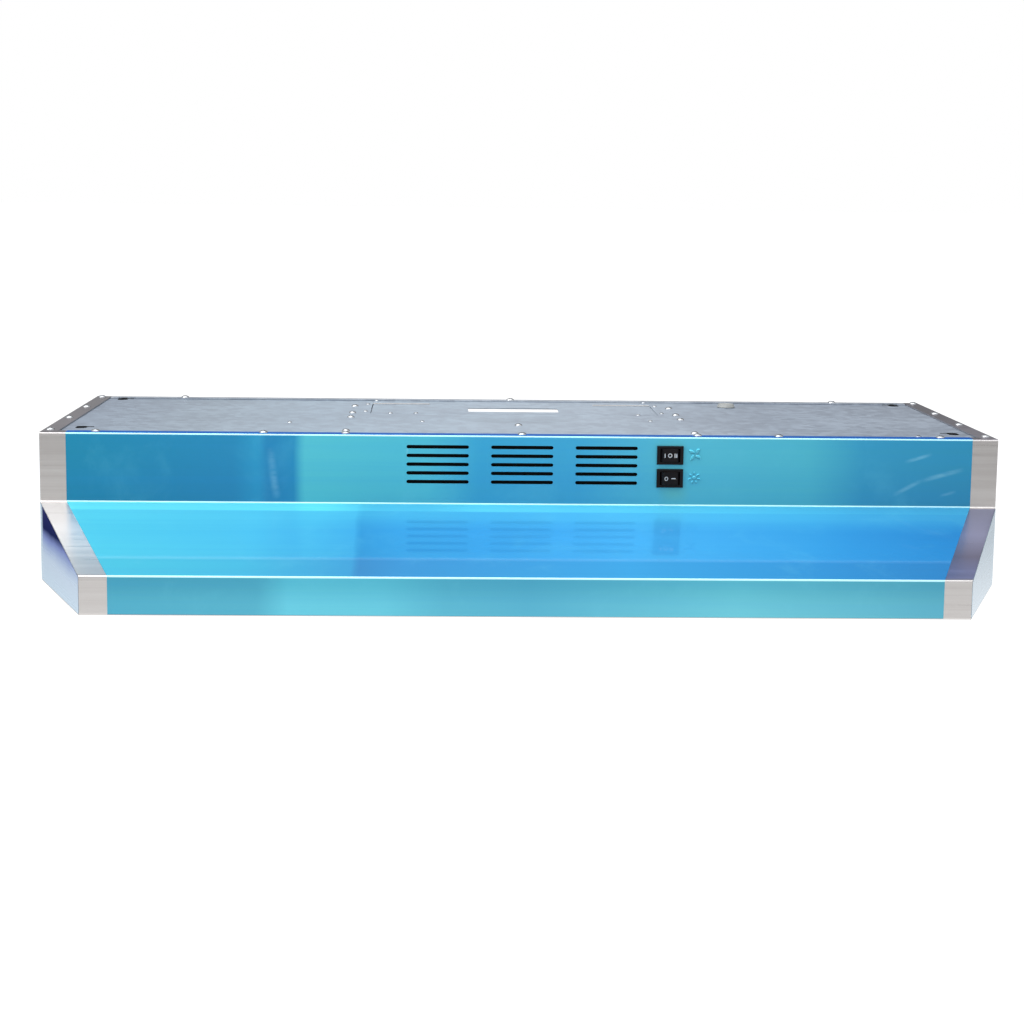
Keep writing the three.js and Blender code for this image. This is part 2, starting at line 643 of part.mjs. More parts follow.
function motorShell() {
  const { radius, wall, bottom, top } = MOTOR;
  const profile = [
    [9.6, bottom], [radius, bottom], [radius, top], [radius - wall, top],
    [radius - wall, bottom + 1.5], [9.6, bottom + 1.5], [9.6, bottom],
  ];
  return turned(profile, 0, BLOWER_Y, 32);
}

const motorCap = () => turned(ring(9.6, MOTOR.radius, MOTOR.top + GAP, MOTOR.top + 2), 0, BLOWER_Y, 32);

const BRACKET_Z = MOTOR.top + 2 + GAP;
const BRACKET_THICK = 1.6;
const mountAngles = [-90, 30, 150];
const mountPlace = (degrees) => {
  const angle = THREE.MathUtils.degToRad(degrees);
  return [MOUNT_RING * Math.cos(angle), BLOWER_Y + MOUNT_RING * Math.sin(angle)];
};

// A three-armed plate over the motor. Each arm ends on a rubber mount.
function motorBracket() {
  const top = BRACKET_Z + BRACKET_THICK;
  const arm = alongZ(stadium(MOUNT_RING / 2 + 4, 0, MOUNT_RING + 8, 15, 6), BRACKET_Z, top);
  const arms = mountAngles.map((degrees) => arm.rotate([0, 0, degrees]).translate([0, BLOWER_Y, 0]));
  const plate = joined(rod(26, 0, BLOWER_Y, BRACKET_Z, top, 24), ...arms);
  const screwHoles = mountAngles.map((degrees) => rod(2.5, ...mountPlace(degrees), 0, BIG));
  return without(plate, rod(12, 0, BLOWER_Y, 0, BIG, 20), ...screwHoles);
}

// A grooved rubber bush between an arm and the top plate.
function motorMount(degrees) {
  const base = BRACKET_Z + BRACKET_THICK + GAP;
  const top = PLATE_UNDER - GAP;
  const middle = (base + top) / 2;
  const profile = [[2.6, base], [7.5, base], [5.6, middle], [7.5, top], [2.6, top], [2.6, base]];
  return turned(profile, ...mountPlace(degrees), 16);
}

// ---- Wiring ----
const WIRE_R = 2;
const BOX = { x0: 165, x1: 235, y0: 140, y1: 200, z0: 84 };
const LEAD_Z = 104;
const MOTOR_LEAD_Y = 112;
const SWITCH_LEAD_Y = -44;
const SWITCH_LEAD_Z = 94;

// An open-topped box under the cable hole. Its front is a separate cover.
function wiringBox() {
  const { x0, x1, y0, y1, z0 } = BOX;
  return without(
    block(x0, x1, y0, y1, z0, PLATE_UNDER - GAP),
    block(x0 + SHEET, x1 - SHEET, y0 - 5, y1 - SHEET, z0 + SHEET, BIG),
  );
}

function wiringBoxCover() {
  return block(BOX.x0, BOX.x1, BOX.y0 - INSIDE, BOX.y0 - GAP, BOX.z0, PLATE_UNDER - GAP);
}

// A three-way block: screw wells above and wire holes through it.
function terminalBlock() {
  const [x, y, z] = [(BOX.x0 + BOX.x1) / 2 + 12, BOX.y0 + 22, BOX.z0 + SHEET + GAP];
  const body = block(x - 15, x + 15, y - 8, y + 8, z, z + 11);
  const wells = [-9, 0, 9].map((offset) => joined(
    rod(2.4, x + offset, y, z + 5, z + 20, 10),
    alongY(stadium(x + offset, z + 5, 5, 4.9, 5), y - 20, y + 20),
  ));
  return without(body, ...wells);
}

// The white plastic bushing in the top plate's cable hole.
function cableBushing() {
  const top = PLATE_UNDER + SHEET;
  const { radius: r, bore } = CABLE_HOLE;
  const foot = PLATE_UNDER - 3.5;
  const profile = [
    [bore, foot], [r + 1.8, foot], [r + 1.8, PLATE_UNDER - GAP], [r - GAP, PLATE_UNDER - GAP],
    [r - GAP, top + GAP], [r + 1.8, top + GAP], [r + 0.3, top + 3.3], [bore + 0.9, top + 3.3],
    [bore, top + 2.4], [bore, foot],
  ];
  return turned(profile, CABLE_HOLE.x, CABLE_HOLE.y, 24);
}

const CAPACITOR = { x: -190, y: 150, radius: 13, length: 46 };
const CAPACITOR_Z = PLATE_UNDER - GAP - SHEET - GAP - CAPACITOR.radius;

function capacitor() {
  const { x, y, radius, length } = CAPACITOR;
  const can = new THREE.CylinderGeometry(radius, radius, length, 24).rotateZ(Math.PI / 2);
  const end = x + length / 2;
  const z = CAPACITOR_Z;
  const terminals = [-4, 4].map((offset) =>
    block(end - 1, end + 7, y + offset - 0.4, y + offset + 0.4, z - 2.4, z + 2.4),
  );
  return joined(solid(can.translate(x, y, z)), ...terminals);
}

// A strap over the capacitor, with a foot on each side that is screwed up into the top plate.
function capacitorClip() {
  const { x, y, radius } = CAPACITOR;
  const inner = radius + GAP;
  const outer = inner + SHEET;
  const top = PLATE_UNDER - GAP;
  const arc = (r) => Array.from({ length: 13 }, (_, i) => {
    const angle = Math.PI * (1 + i / 12);
    return [y + r * Math.cos(angle), CAPACITOR_Z + r * Math.sin(angle)];
  });
  const toe = outer + 9;
  const profile = [
    [y - toe, top], [y - toe, top - SHEET], [y - outer, top - SHEET], ...arc(outer),
    [y + outer, top - SHEET], [y + toe, top - SHEET], [y + toe, top],
    [y + inner, top], ...arc(inner).reverse(), [y - inner, top],
  ];
  return alongX(profile, x - 7, x + 7);
}

const LEAD_END = BOX.y0 - INSIDE - GAP;

function motorLead() {
  return wire([
    [18, BLOWER_Y + 36, MOTOR.top + 4.6], [52, 82, 106], [90, 104, 104],
    [PLENUM_HALF - 10, MOTOR_LEAD_Y, LEAD_Z], [PLENUM_HALF + 12, MOTOR_LEAD_Y, LEAD_Z],
    [162, 118, 103], [176, 128, 102], [180, LEAD_END - 0.6, 100],
  ], WIRE_R, 30);
}

function switchLead() {
  return wire([
    [SWITCH.x, FACE + SWITCH_BODY.depth + 7.6, 94.3], [120, SWITCH_LEAD_Y - 2, SWITCH_LEAD_Z],
    [PLENUM_HALF - 5, SWITCH_LEAD_Y, SWITCH_LEAD_Z], [PLENUM_HALF + 10, SWITCH_LEAD_Y, SWITCH_LEAD_Z],
    [170, -20, 96], [186, 40, 98], [192, 100, 98], [190, LEAD_END, 98],
  ], WIRE_R, 34);
}

// The right lamp's wire runs straight back to the box. The left one first crosses under the blower floor.
function lampLead(side) {
  const x = side * LAMP.x;
  const start = [[x, LAMP.y + 10, PAN_Z + LAMP.depth + 1], [x, LAMP.y + 14, PAN_Z + LAMP.depth + 7]];
  if (side > 0) {
    const route = [...start, [222, -60, 44], [216, 30, 70], [210, 110, 92], [208, LEAD_END, 94]];
    return wire(route, WIRE_R, 26);
  }
  return wire([
    ...start, [-222, -88, 30], [-180, -70, 19], [0, -68, 17.5], [150, -68, 17.5], [186, -40, 30],
    [202, 30, 62], [201, 110, 86], [200, LEAD_END, 88],
  ], WIRE_R, 52);
}

// ---- Assembly ----
const hood = new THREE.Group();

function place(name, made, material, parent = hood) {
  const mesh = new THREE.Mesh(geometryOf(made), material);
  mesh.name = name;
  parent.add(mesh);
}

// A rocker in its switch, turned about the upright pivot by `degrees`.
function placeRocker(name, z, degrees) {
  const pivot = new THREE.Group();
  pivot.position.set(SWITCH.x, PIVOT_Y, z);
  pivot.rotation.z = THREE.MathUtils.degToRad(degrees);
  place(name, switchRocker(), BLACK_PLASTIC, pivot);
  hood.add(pivot);
}

place("front_panel", frontPanel(), BRUSHED_STEEL);
place("front_film", frontFilm(), BLUE_FILM);
place("top_panel", topPanel(), GALVANISED);
place("duct_knockout", ductKnockout(), GALVANISED);
place("back_panel", backPanel(), GALVANISED);
place("bottom_pan", bottomPan(), BRUSHED_STEEL);
place("front_filter_rail", frontFilterRail(), BRUSHED_STEEL);
place("rear_filter_rail", rearFilterRail(), BRUSHED_STEEL);

for (const [hand, side] of [["left", -1], ["right", 1]]) {
  place(`${hand}_side_panel`, sidePanel(side), BRUSHED_STEEL);
  place(`${hand}_side_film`, sideFilm(side), CLEAR_BLUE_FILM);
  place(`${hand}_filter_frame`, filterFrame(side), ALUMINIUM);
  place(`${hand}_filter_mesh`, filterMesh(side), ALUMINIUM);
  place(`${hand}_filter_latch`, filterLatch(side), BLACK_PLASTIC);
  place(`${hand}_latch_spring`, latchSpring(side), ZINC_STEEL);
  place(`${hand}_lamp_housing`, lampHousing(side), WHITE_PLASTIC);
  place(`${hand}_lamp_board`, lampBoard(side), WHITE_PLASTIC);
  place(`${hand}_lamp_lens`, lampLens(side), FROSTED_LENS);
  place(`${hand}_lamp_lead`, lampLead(side), GREY_PLASTIC);
  place(`${hand}_plenum_wall`, plenumWall(side), GALVANISED);
}

place("fan_switch_body", switchBody(FAN_SWITCH_Z, 3), BLACK_PLASTIC);
place("light_switch_body", switchBody(LIGHT_SWITCH_Z, 2), BLACK_PLASTIC);
placeRocker("fan_switch_rocker", FAN_SWITCH_Z, 0);
placeRocker("light_switch_rocker", LIGHT_SWITCH_Z, ROCKER.tilt);

place("blower_floor", blowerFloor(), GALVANISED);
place("inlet_ring", inletRing(), BLACK_PLASTIC);
place("louvre_baffle", louvreBaffle(), BLACK_PLASTIC);
place("impeller", impeller(), BLACK_PLASTIC);
place("hub_nut", hubNut(), ZINC_STEEL);
place("motor_shaft", motorShaft(), ZINC_STEEL);
place("motor_rotor", motorRotor(), COPPER_AND_IRON);
place("motor_stator", motorStator(), COPPER_AND_IRON);
place("motor_shell", motorShell(), GALVANISED);
place("motor_cap", motorCap(), GALVANISED);
place("lower_bearing", motorBearing(MOTOR.bottom + GAP, 66), BRONZE);
place("upper_bearing", motorBearing(97, MOTOR.top + 2), BRONZE);
place("motor_bracket", motorBracket(), GALVANISED);
mountAngles.forEach((degrees, i) => {
  place(`motor_mount_${i + 1}`, motorMount(degrees), RUBBER);
});

place("wiring_box", wiringBox(), GALVANISED);
place("wiring_box_cover", wiringBoxCover(), GALVANISED);
place("terminal_block", terminalBlock(), WHITE_PLASTIC);
place("cable_bushing", cableBushing(), WHITE_PLASTIC);
place("capacitor", capacitor(), WHITE_PLASTIC);
place("capacitor_clip", capacitorClip(), GALVANISED);
place("motor_lead", motorLead(), GREY_PLASTIC);
place("switch_lead", switchLead(), GREY_PLASTIC);

export default hood;
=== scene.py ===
"""An under-cabinet range hood, fresh from the press shop: folded steel still in its blue film.

Metres, +Z up, the front faces -Y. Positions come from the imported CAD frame.
"""
import json
import math

import bmesh
import bpy
from mathutils import Matrix, Vector
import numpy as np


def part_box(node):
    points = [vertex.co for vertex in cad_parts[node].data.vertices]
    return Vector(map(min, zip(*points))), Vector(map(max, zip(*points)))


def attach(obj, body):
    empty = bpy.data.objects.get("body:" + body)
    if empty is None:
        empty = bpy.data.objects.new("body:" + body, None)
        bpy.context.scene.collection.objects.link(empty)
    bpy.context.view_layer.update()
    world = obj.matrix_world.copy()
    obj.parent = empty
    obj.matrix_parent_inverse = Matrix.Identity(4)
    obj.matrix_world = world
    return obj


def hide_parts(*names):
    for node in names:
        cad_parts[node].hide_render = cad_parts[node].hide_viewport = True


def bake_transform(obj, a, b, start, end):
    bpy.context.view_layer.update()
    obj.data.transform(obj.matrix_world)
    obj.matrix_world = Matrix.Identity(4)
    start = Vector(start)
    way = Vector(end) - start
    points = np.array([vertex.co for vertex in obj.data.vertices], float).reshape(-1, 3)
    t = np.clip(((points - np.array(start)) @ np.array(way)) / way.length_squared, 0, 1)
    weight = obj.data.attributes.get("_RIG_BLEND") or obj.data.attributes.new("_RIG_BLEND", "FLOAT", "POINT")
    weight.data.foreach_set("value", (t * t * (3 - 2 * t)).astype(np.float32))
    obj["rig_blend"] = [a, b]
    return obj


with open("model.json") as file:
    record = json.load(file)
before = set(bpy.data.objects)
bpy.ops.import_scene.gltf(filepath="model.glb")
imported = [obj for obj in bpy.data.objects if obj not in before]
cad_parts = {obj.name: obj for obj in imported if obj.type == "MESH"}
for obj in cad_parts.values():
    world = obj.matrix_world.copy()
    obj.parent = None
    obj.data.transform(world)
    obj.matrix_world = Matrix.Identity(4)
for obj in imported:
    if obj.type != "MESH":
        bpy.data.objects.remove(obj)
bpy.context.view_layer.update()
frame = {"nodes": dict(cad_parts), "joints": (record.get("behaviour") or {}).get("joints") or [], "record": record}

MM = 0.001
GRAIN = "grain"  # the UV map that runs along the brushing, in metres

FACE_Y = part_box("louvre_baffle")[0].y - 3 * MM  # the upright front face
PLATE_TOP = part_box("top_panel")[1].z
RIM_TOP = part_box("front_panel")[1].z
HALF = max(abs(corner.x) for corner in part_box("left_side_panel"))
lens_low, lens_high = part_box("left_lamp_lens")
LENS_AT = (lens_low + lens_high) / 2


# ---- Camera ----
CAMERA_AT = (-0.0693, -1.7845, 0.311)
FOCAL_MM, SENSOR_MM = 76.3, 36
HEADING, PITCH, ROLL = math.radians(-2.07), math.radians(-8.46), math.radians(-0.69)


def place_camera():
    data = bpy.data.cameras.new("camera")
    data.sensor_width = SENSOR_MM
    data.lens = FOCAL_MM
    camera = bpy.data.objects.new("camera", data)
    turn = Matrix.Rotation(HEADING, 3, "Z") @ Matrix.Rotation(PITCH, 3, "X") @ Matrix.Rotation(ROLL, 3, "Y")
    upright = Matrix(((1, 0, 0), (0, 0, -1), (0, 1, 0)))
    camera.matrix_world = Matrix.Translation(CAMERA_AT) @ (turn @ upright).to_4x4()
    bpy.context.scene.collection.objects.link(camera)
    bpy.context.scene.camera = camera


place_camera()


# ---- Node helpers ----
def add_node(tree, kind, inputs=None, **settings):
    """A node with its settings made, and each input given a number, a colour or a link from a socket."""
    node = tree.nodes.new(kind)
    for name, value in settings.items():
        setattr(node, name, value)
    for key, value in (inputs or {}).items():
        if isinstance(value, bpy.types.NodeSocket):
            tree.links.new(value, node.inputs[key])
        else:
            node.inputs[key].default_value = value
    return node


def maths(tree, operation, a, b=0.0, clamp=False):
    node = add_node(tree, "ShaderNodeMath", {0: a, 1: b}, operation=operation, use_clamp=clamp)
    return node.outputs[0]


def times(tree, a, b, clamp=False):
    return maths(tree, "MULTIPLY", a, b, clamp)


def plus(tree, a, b):
    return maths(tree, "ADD", a, b)


def minus(tree, a, b):
    return maths(tree, "SUBTRACT", a, b)


def vector_of(tree, x=0.0, y=0.0, z=0.0):
    return add_node(tree, "ShaderNodeCombineXYZ", {"X": x, "Y": y, "Z": z}).outputs[0]


def axes(tree, vector):
    """The X, Y and Z of a vector."""
    node = add_node(tree, "ShaderNodeSeparateXYZ", {0: vector})
    return node.outputs["X"], node.outputs["Y"], node.outputs["Z"]


def vector_maths(tree, operation, a, b=(0, 0, 0)):
    node = add_node(tree, "ShaderNodeVectorMath", {0: a, 1: b}, operation=operation)
    return node.outputs["Value" if operation in ("DOT_PRODUCT", "LENGTH", "DISTANCE") else "Vector"]


def spread(tree, value, low, high, to_low=0.0, to_high=1.0):
    """value taken from low..high to to_low..to_high, with soft ends."""
    node = add_node(
        tree,
        "ShaderNodeMapRange",
        {"Value": value, "From Min": low, "From Max": high, "To Min": to_low, "To Max": to_high},
        interpolation_type="SMOOTHSTEP",
    )
    return node.outputs["Result"]


def ramp(tree, factor, stops):
    node = add_node(tree, "ShaderNodeValToRGB", {"Fac": factor})
    elements = node.color_ramp.elements
    while len(elements) > 1:
        elements.remove(elements[-1])
    for i, (place, colour) in enumerate(stops):
        element = elements[0] if i == 0 else elements.new(place)
        element.position = place
        element.color = (*colour, 1)
    return node.outputs["Color"]


def mix(tree, factor, a, b, blend="MIX"):
    """Two colours mixed by a factor. A colour is a socket, or three numbers."""
    a, b = (c if isinstance(c, bpy.types.NodeSocket) else (*c, 1) for c in (a, b))
    node = add_node(tree, "ShaderNodeMix", {0: factor, 6: a, 7: b}, data_type="RGBA", blend_type=blend)
    return node.outputs[2]


def tinted(tree, colour, by):
    """A colour multiplied by another."""
    return mix(tree, 1.0, colour, by, "MULTIPLY")


def grey_of(tree, level):
    return add_node(tree, "ShaderNodeCombineColor", {0: level, 1: level, 2: level}).outputs[0]


def noise(tree, vector, scale, detail=3.0, roughness=0.5, distortion=0.0):
    inputs = {"Vector": vector, "Scale": scale, "Detail": detail}
    inputs |= {"Roughness": roughness, "Distortion": distortion}
    return add_node(tree, "ShaderNodeTexNoise", inputs).outputs["Fac"]


def scaled(tree, vector, scale):
    return add_node(tree, "ShaderNodeMapping", {"Vector": vector, "Scale": scale}).outputs[0]


def new_group(name, inputs, outputs, kind="ShaderNodeTree"):
    """An empty node group with its sockets, and its two end nodes."""
    tree = bpy.data.node_groups.new(name, kind)
    for label, socket_kind, default in inputs:
        socket = tree.interface.new_socket(label, in_out="INPUT", socket_type=socket_kind)
        if default is not None:
            socket.default_value = default
    for label, socket_kind in outputs:
        tree.interface.new_socket(label, in_out="OUTPUT", socket_type=socket_kind)
    return tree, tree.nodes.new("NodeGroupInput"), tree.nodes.new("NodeGroupOutput")


def use_group(tree, group, inputs):
    return add_node(tree, "ShaderNodeGroup", inputs, node_tree=group)


FLOAT, VECTOR = "NodeSocketFloat", "NodeSocketVector"


# ---- Effects that several finishes share ----
def brushing_group():
    """Fine lines along X of the vector it is given, in metres."""
    tree, start, end = new_group(
        "brushing",
        [("Vector", VECTOR, None), ("Lines per metre", FLOAT, 700.0), ("Line length", FLOAT, 0.12)],
        [("Height", FLOAT), ("Tone", FLOAT)],
    )
    x, y, _ = axes(tree, start.outputs["Vector"])
    along = maths(tree, "DIVIDE", x, start.outputs["Line length"])
    across = times(tree, y, start.outputs["Lines per metre"])
    lines = noise(tree, vector_of(tree, along, across), 1.0, 4.0, 0.65)
    streaks = noise(tree, vector_of(tree, times(tree, along, 0.4), times(tree, across, 0.22)), 1.0, 2.0, 0.5)
    tree.links.new(lines, end.inputs["Height"])
    tone = plus(tree, times(tree, lines, 0.45), times(tree, streaks, 0.55))
    tree.links.new(tone, end.inputs["Tone"])
    return tree


def smudge_group():
    """Faint handling marks, dust and stains: 0 is clean and 1 is marked."""
    tree, start, end = new_group(
        "smudges",
        [("Vector", VECTOR, None), ("Size", FLOAT, 0.05), ("Cover", FLOAT, 0.4)],
        [("Mask", FLOAT), ("Specks", FLOAT)],
    )
    sized = vector_maths(tree, "SCALE", start.outputs["Vector"])
    tree.links.new(maths(tree, "DIVIDE", 1.0, start.outputs["Size"]), sized.node.inputs["Scale"])
    clouds = noise(tree, sized, 1.0, 5.0, 0.6, 0.4)
    limit = minus(tree, 1.0, start.outputs["Cover"])
    tree.links.new(spread(tree, clouds, limit, plus(tree, limit, 0.25)), end.inputs["Mask"])
    dots = noise(tree, sized, 22.0, 1.0)
    tree.links.new(spread(tree, dots, 0.72, 0.78), end.inputs["Specks"])
    return tree


def scuff_group():
    """A soft line from one point to another: 1 on the line and 0 away from it, fading at both ends."""
    tree, start, end = new_group(
        "scuff",
        [(end_name, VECTOR, None) for end_name in ("Vector", "From", "To")] + [("Width", FLOAT, 0.001)],
        [("Mask", FLOAT)],
    )
    out = vector_maths(tree, "SUBTRACT", start.outputs["Vector"], start.outputs["From"])
    line = vector_maths(tree, "SUBTRACT", start.outputs["To"], start.outputs["From"])
    reached, whole = (vector_maths(tree, "DOT_PRODUCT", v, line) for v in (out, line))
    share = maths(tree, "DIVIDE", reached, whole, True)
    reach = vector_maths(tree, "SCALE", line)
    tree.links.new(share, reach.node.inputs["Scale"])
    distance = vector_maths(tree, "DISTANCE", out, reach)
    ratio = maths(tree, "DIVIDE", distance, start.outputs["Width"])
    near = spread(tree, ratio, 0.0, 1.0, 1.0, 0.0)
    fade = maths(tree, "SINE", times(tree, share, math.pi))
    tree.links.new(times(tree, near, fade, True), end.inputs["Mask"])
    return tree


def moulding_group():
    """The fine matt texture of moulded plastic and rubber."""
    tree, start, end = new_group(
        "moulding",
        [("Vector", VECTOR, None), ("Grains per metre", FLOAT, 2500.0)],
        [("Height", FLOAT), ("Tone", FLOAT)],
    )
    grain = noise(tree, start.outputs["Vector"], 1.0, 2.0, 0.5)
    tree.links.new(start.outputs["Grains per metre"], grain.node.inputs["Scale"])
    tree.links.new(grain, end.inputs["Height"])
    tree.links.new(noise(tree, start.outputs["Vector"], 45.0, 3.0, 0.55), end.inputs["Tone"])
    return tree


BRUSHING, SMUDGES, SCUFF, MOULDING = brushing_group(), smudge_group(), scuff_group(), moulding_group()


# ---- Finishes ----
LIP_TOP = 0.030  # the height at which the lip bends into the visor
MIRROR_END = 0.037  # below this height the visor mirrors the floor instead of the upright face
LAMP_RING = 0.0125  # the radius of the ring of diodes


def new_material(name, **sockets):
    """A material, its tree and its Principled BSDF, with plain numbers set on the shader's sockets."""
    material = bpy.data.materials.new(name)
    material.use_nodes = True
    tree = material.node_tree
    shader = next(n for n in tree.nodes if n.type == "BSDF_PRINCIPLED")
    for label, value in sockets.items():
        shader.inputs[label.replace("_", " ")].default_value = value
    return material, tree, shader


def own_place(tree):
    return add_node(tree, "ShaderNodeTexCoord").outputs["Object"]


def along_grain(tree):
    return add_node(tree, "ShaderNodeUVMap", uv_map=GRAIN).outputs["UV"]


def bump(tree, shader, height, strength, distance):
    inputs = {"Height": height, "Strength": strength, "Distance": distance}
    tree.links.new(add_node(tree, "ShaderNodeBump", inputs).outputs["Normal"], shader.inputs["Normal"])


def grey(value):
    return (value, value, value)


def shaded(colour, by):
    return tuple(by * c for c in colour)


def bare_ends(tree, colour):
    """Steel that no film covers. On the visor it carries a painted reflection, near white on the left and dark
    bluish on the right, and on the flanges on top it carries painted shade.
    """
    x, y, z = axes(tree, own_place(tree))
    side = spread(tree, x, -0.1, 0.1)
    ahead = spread(tree, y, FACE_Y - 0.004, FACE_Y - 0.001, 1.0, 0.0)
    visor = times(tree, ahead, spread(tree, z, LIP_TOP - 0.0005, LIP_TOP + 0.0005))
    # Painted reflection on the bare visor ends: grey-blue at the lip to white higher up on the left, a dark bluish
    # ramp on the right.
    bright = mix(tree, spread(tree, z, LIP_TOP, LIP_TOP + 0.026), (0.76, 0.82, 0.86), (1.0, 1.0, 1.0))
    climb = maths(tree, "DIVIDE", minus(tree, z, LIP_TOP), 0.03)
    colour = mix(tree, visor, colour, mix(tree, side, bright, ramp(tree, climb, RIGHT_END_REFLECTION_TINTS)))
    # Painted shade on the bare flanges on top, darker on the left.
    on_top = spread(tree, z, RIM_TOP - 0.0008, RIM_TOP - 0.0002)
    flange_shade = mix(tree, side, (0.44, 0.43, 0.47), (0.60, 0.59, 0.68))
    return mix(tree, on_top, colour, tinted(tree, colour, flange_shade))


def brushed_metal(name, dark, light, roughness=0.3, lines=700.0, outside=False):
    """Brushed or rolled sheet: fine lines along the grain map, and faint handling marks."""
    material, tree, shader = new_material(name, Metallic=1.0, Anisotropic=0.6)
    grain = use_group(tree, BRUSHING, {"Vector": along_grain(tree), "Lines per metre": lines})
    marks = use_group(tree, SMUDGES, {"Vector": own_place(tree), "Size": 0.06, "Cover": 0.35})
    tone, smudge = grain.outputs["Tone"], marks.outputs["Mask"]
    colour = mix(tree, spread(tree, tone, 0.3, 0.7), dark, light)
    colour = mix(tree, times(tree, smudge, 0.35), colour, shaded(light, 0.86))
    if outside:
        colour = bare_ends(tree, colour)
    tree.links.new(colour, shader.inputs["Base Color"])
    rough = spread(tree, tone, 0.2, 0.8, roughness - 0.05, roughness + 0.06)
    tree.links.new(plus(tree, rough, times(tree, smudge, 0.08)), shader.inputs["Roughness"])
    bump(tree, shader, grain.outputs["Height"], 0.12, 0.0004)
    return material


def film_zones(tree, run, y, z, lean):
    """The film's tint on the upright face, the visor and the lip: its blue, with painted reflections and painted
    shade.

    run is the share of the hood's width. lean is 0 where the sheet stands upright and 1 where it lies flat.
    """
    in_shade = (0.55, 0.72, 0.86)
    upright = ramp(tree, run, UPRIGHT_FILM_REFLECTIONS)
    # Painted shade: the upright face darkens towards its bottom.
    lower_shade = spread(tree, z, 0.065, 0.112, 0.45, 0.0)
    upright = mix(tree, lower_shade, upright, tinted(tree, upright, in_shade))
    # Painted reflection: the visor is a lighter cyan just below the bend, where it mirrors the upright face, less
    # where it mirrors a dark band.
    bend_reflection = spread(tree, y, FACE_Y - 0.020, FACE_Y - 0.015)
    bend_reflection = times(tree, bend_reflection, spread(tree, run, 0.2, 0.95, 0.8, 0.3))
    off_shade = maths(tree, "ABSOLUTE", minus(tree, run, 0.375))
    bend_reflection = times(tree, bend_reflection, spread(tree, off_shade, 0.02, 0.09, 0.55, 1.0))
    fading = spread(tree, y, FACE_Y - 0.06, FACE_Y - 0.014, 0.0, 0.24)
    visor = ramp(tree, run, VISOR_FILM_REFLECTIONS)
    visor = mix(tree, maths(tree, "MAXIMUM", bend_reflection, fading), visor, (0.17, 0.86, 0.95))
    tint = mix(tree, spread(tree, lean, 0.3, 0.9), upright, visor)
    # Painted reflection: low on the visor, where it mirrors the floor, the tint loses red.
    floor_reflection_strip = spread(tree, z, MIRROR_END - 0.0005, MIRROR_END + 0.0005, 0.75, 0.0)
    tint = mix(tree, floor_reflection_strip, tint, tinted(tree, tint, (0.10, 0.86, 0.90)))
    lip = ramp(tree, run, LIP_FILM_REFLECTIONS)
    # Painted reflection: the lip is lighter at its bottom, where it mirrors the floor, and darker towards its top.
    lip = mix(tree, spread(tree, z, 0.006, 0.028), lip, tinted(tree, lip, (0.6, 0.8, 0.84)))
    tint = mix(tree, spread(tree, z, LIP_TOP - 0.0015, LIP_TOP - 0.0005, 1.0, 0.0), tint, lip)
    # Painted shadow: a thin dark line along the bottom edge of the lip, strongest on the left.
    bottom_shadow = times(tree, spread(tree, z, 0.0006, 0.0018, 1.0, 0.0), spread(tree, run, 0.15, 0.4, 0.95, 0.35))
    return mix(tree, bottom_shadow, tint, (0.004, 0.04, 0.08))


def film_scuffs(tree, place):
    """Light streaks where the film has been rubbed, broken up along their length."""
    marks = None
    for start, end, width, strength in FILM_SCUFFS:
        ends = {key: (at[0] * MM, FILM_FACE_Y, at[1] * MM) for key, at in (("From", start), ("To", end))}
        streak = use_group(tree, SCUFF, {"Vector": place, "Width": width * MM, **ends}).outputs["Mask"]
        streak = times(tree, streak, strength)
        marks = streak if marks is None else maths(tree, "MAXIMUM", marks, streak)
    worn = spread(tree, noise(tree, scaled(tree, place, (90, 90, 400)), 1.0), 0.2, 0.6, 0.35, 1.0)
    return times(tree, marks, worn)


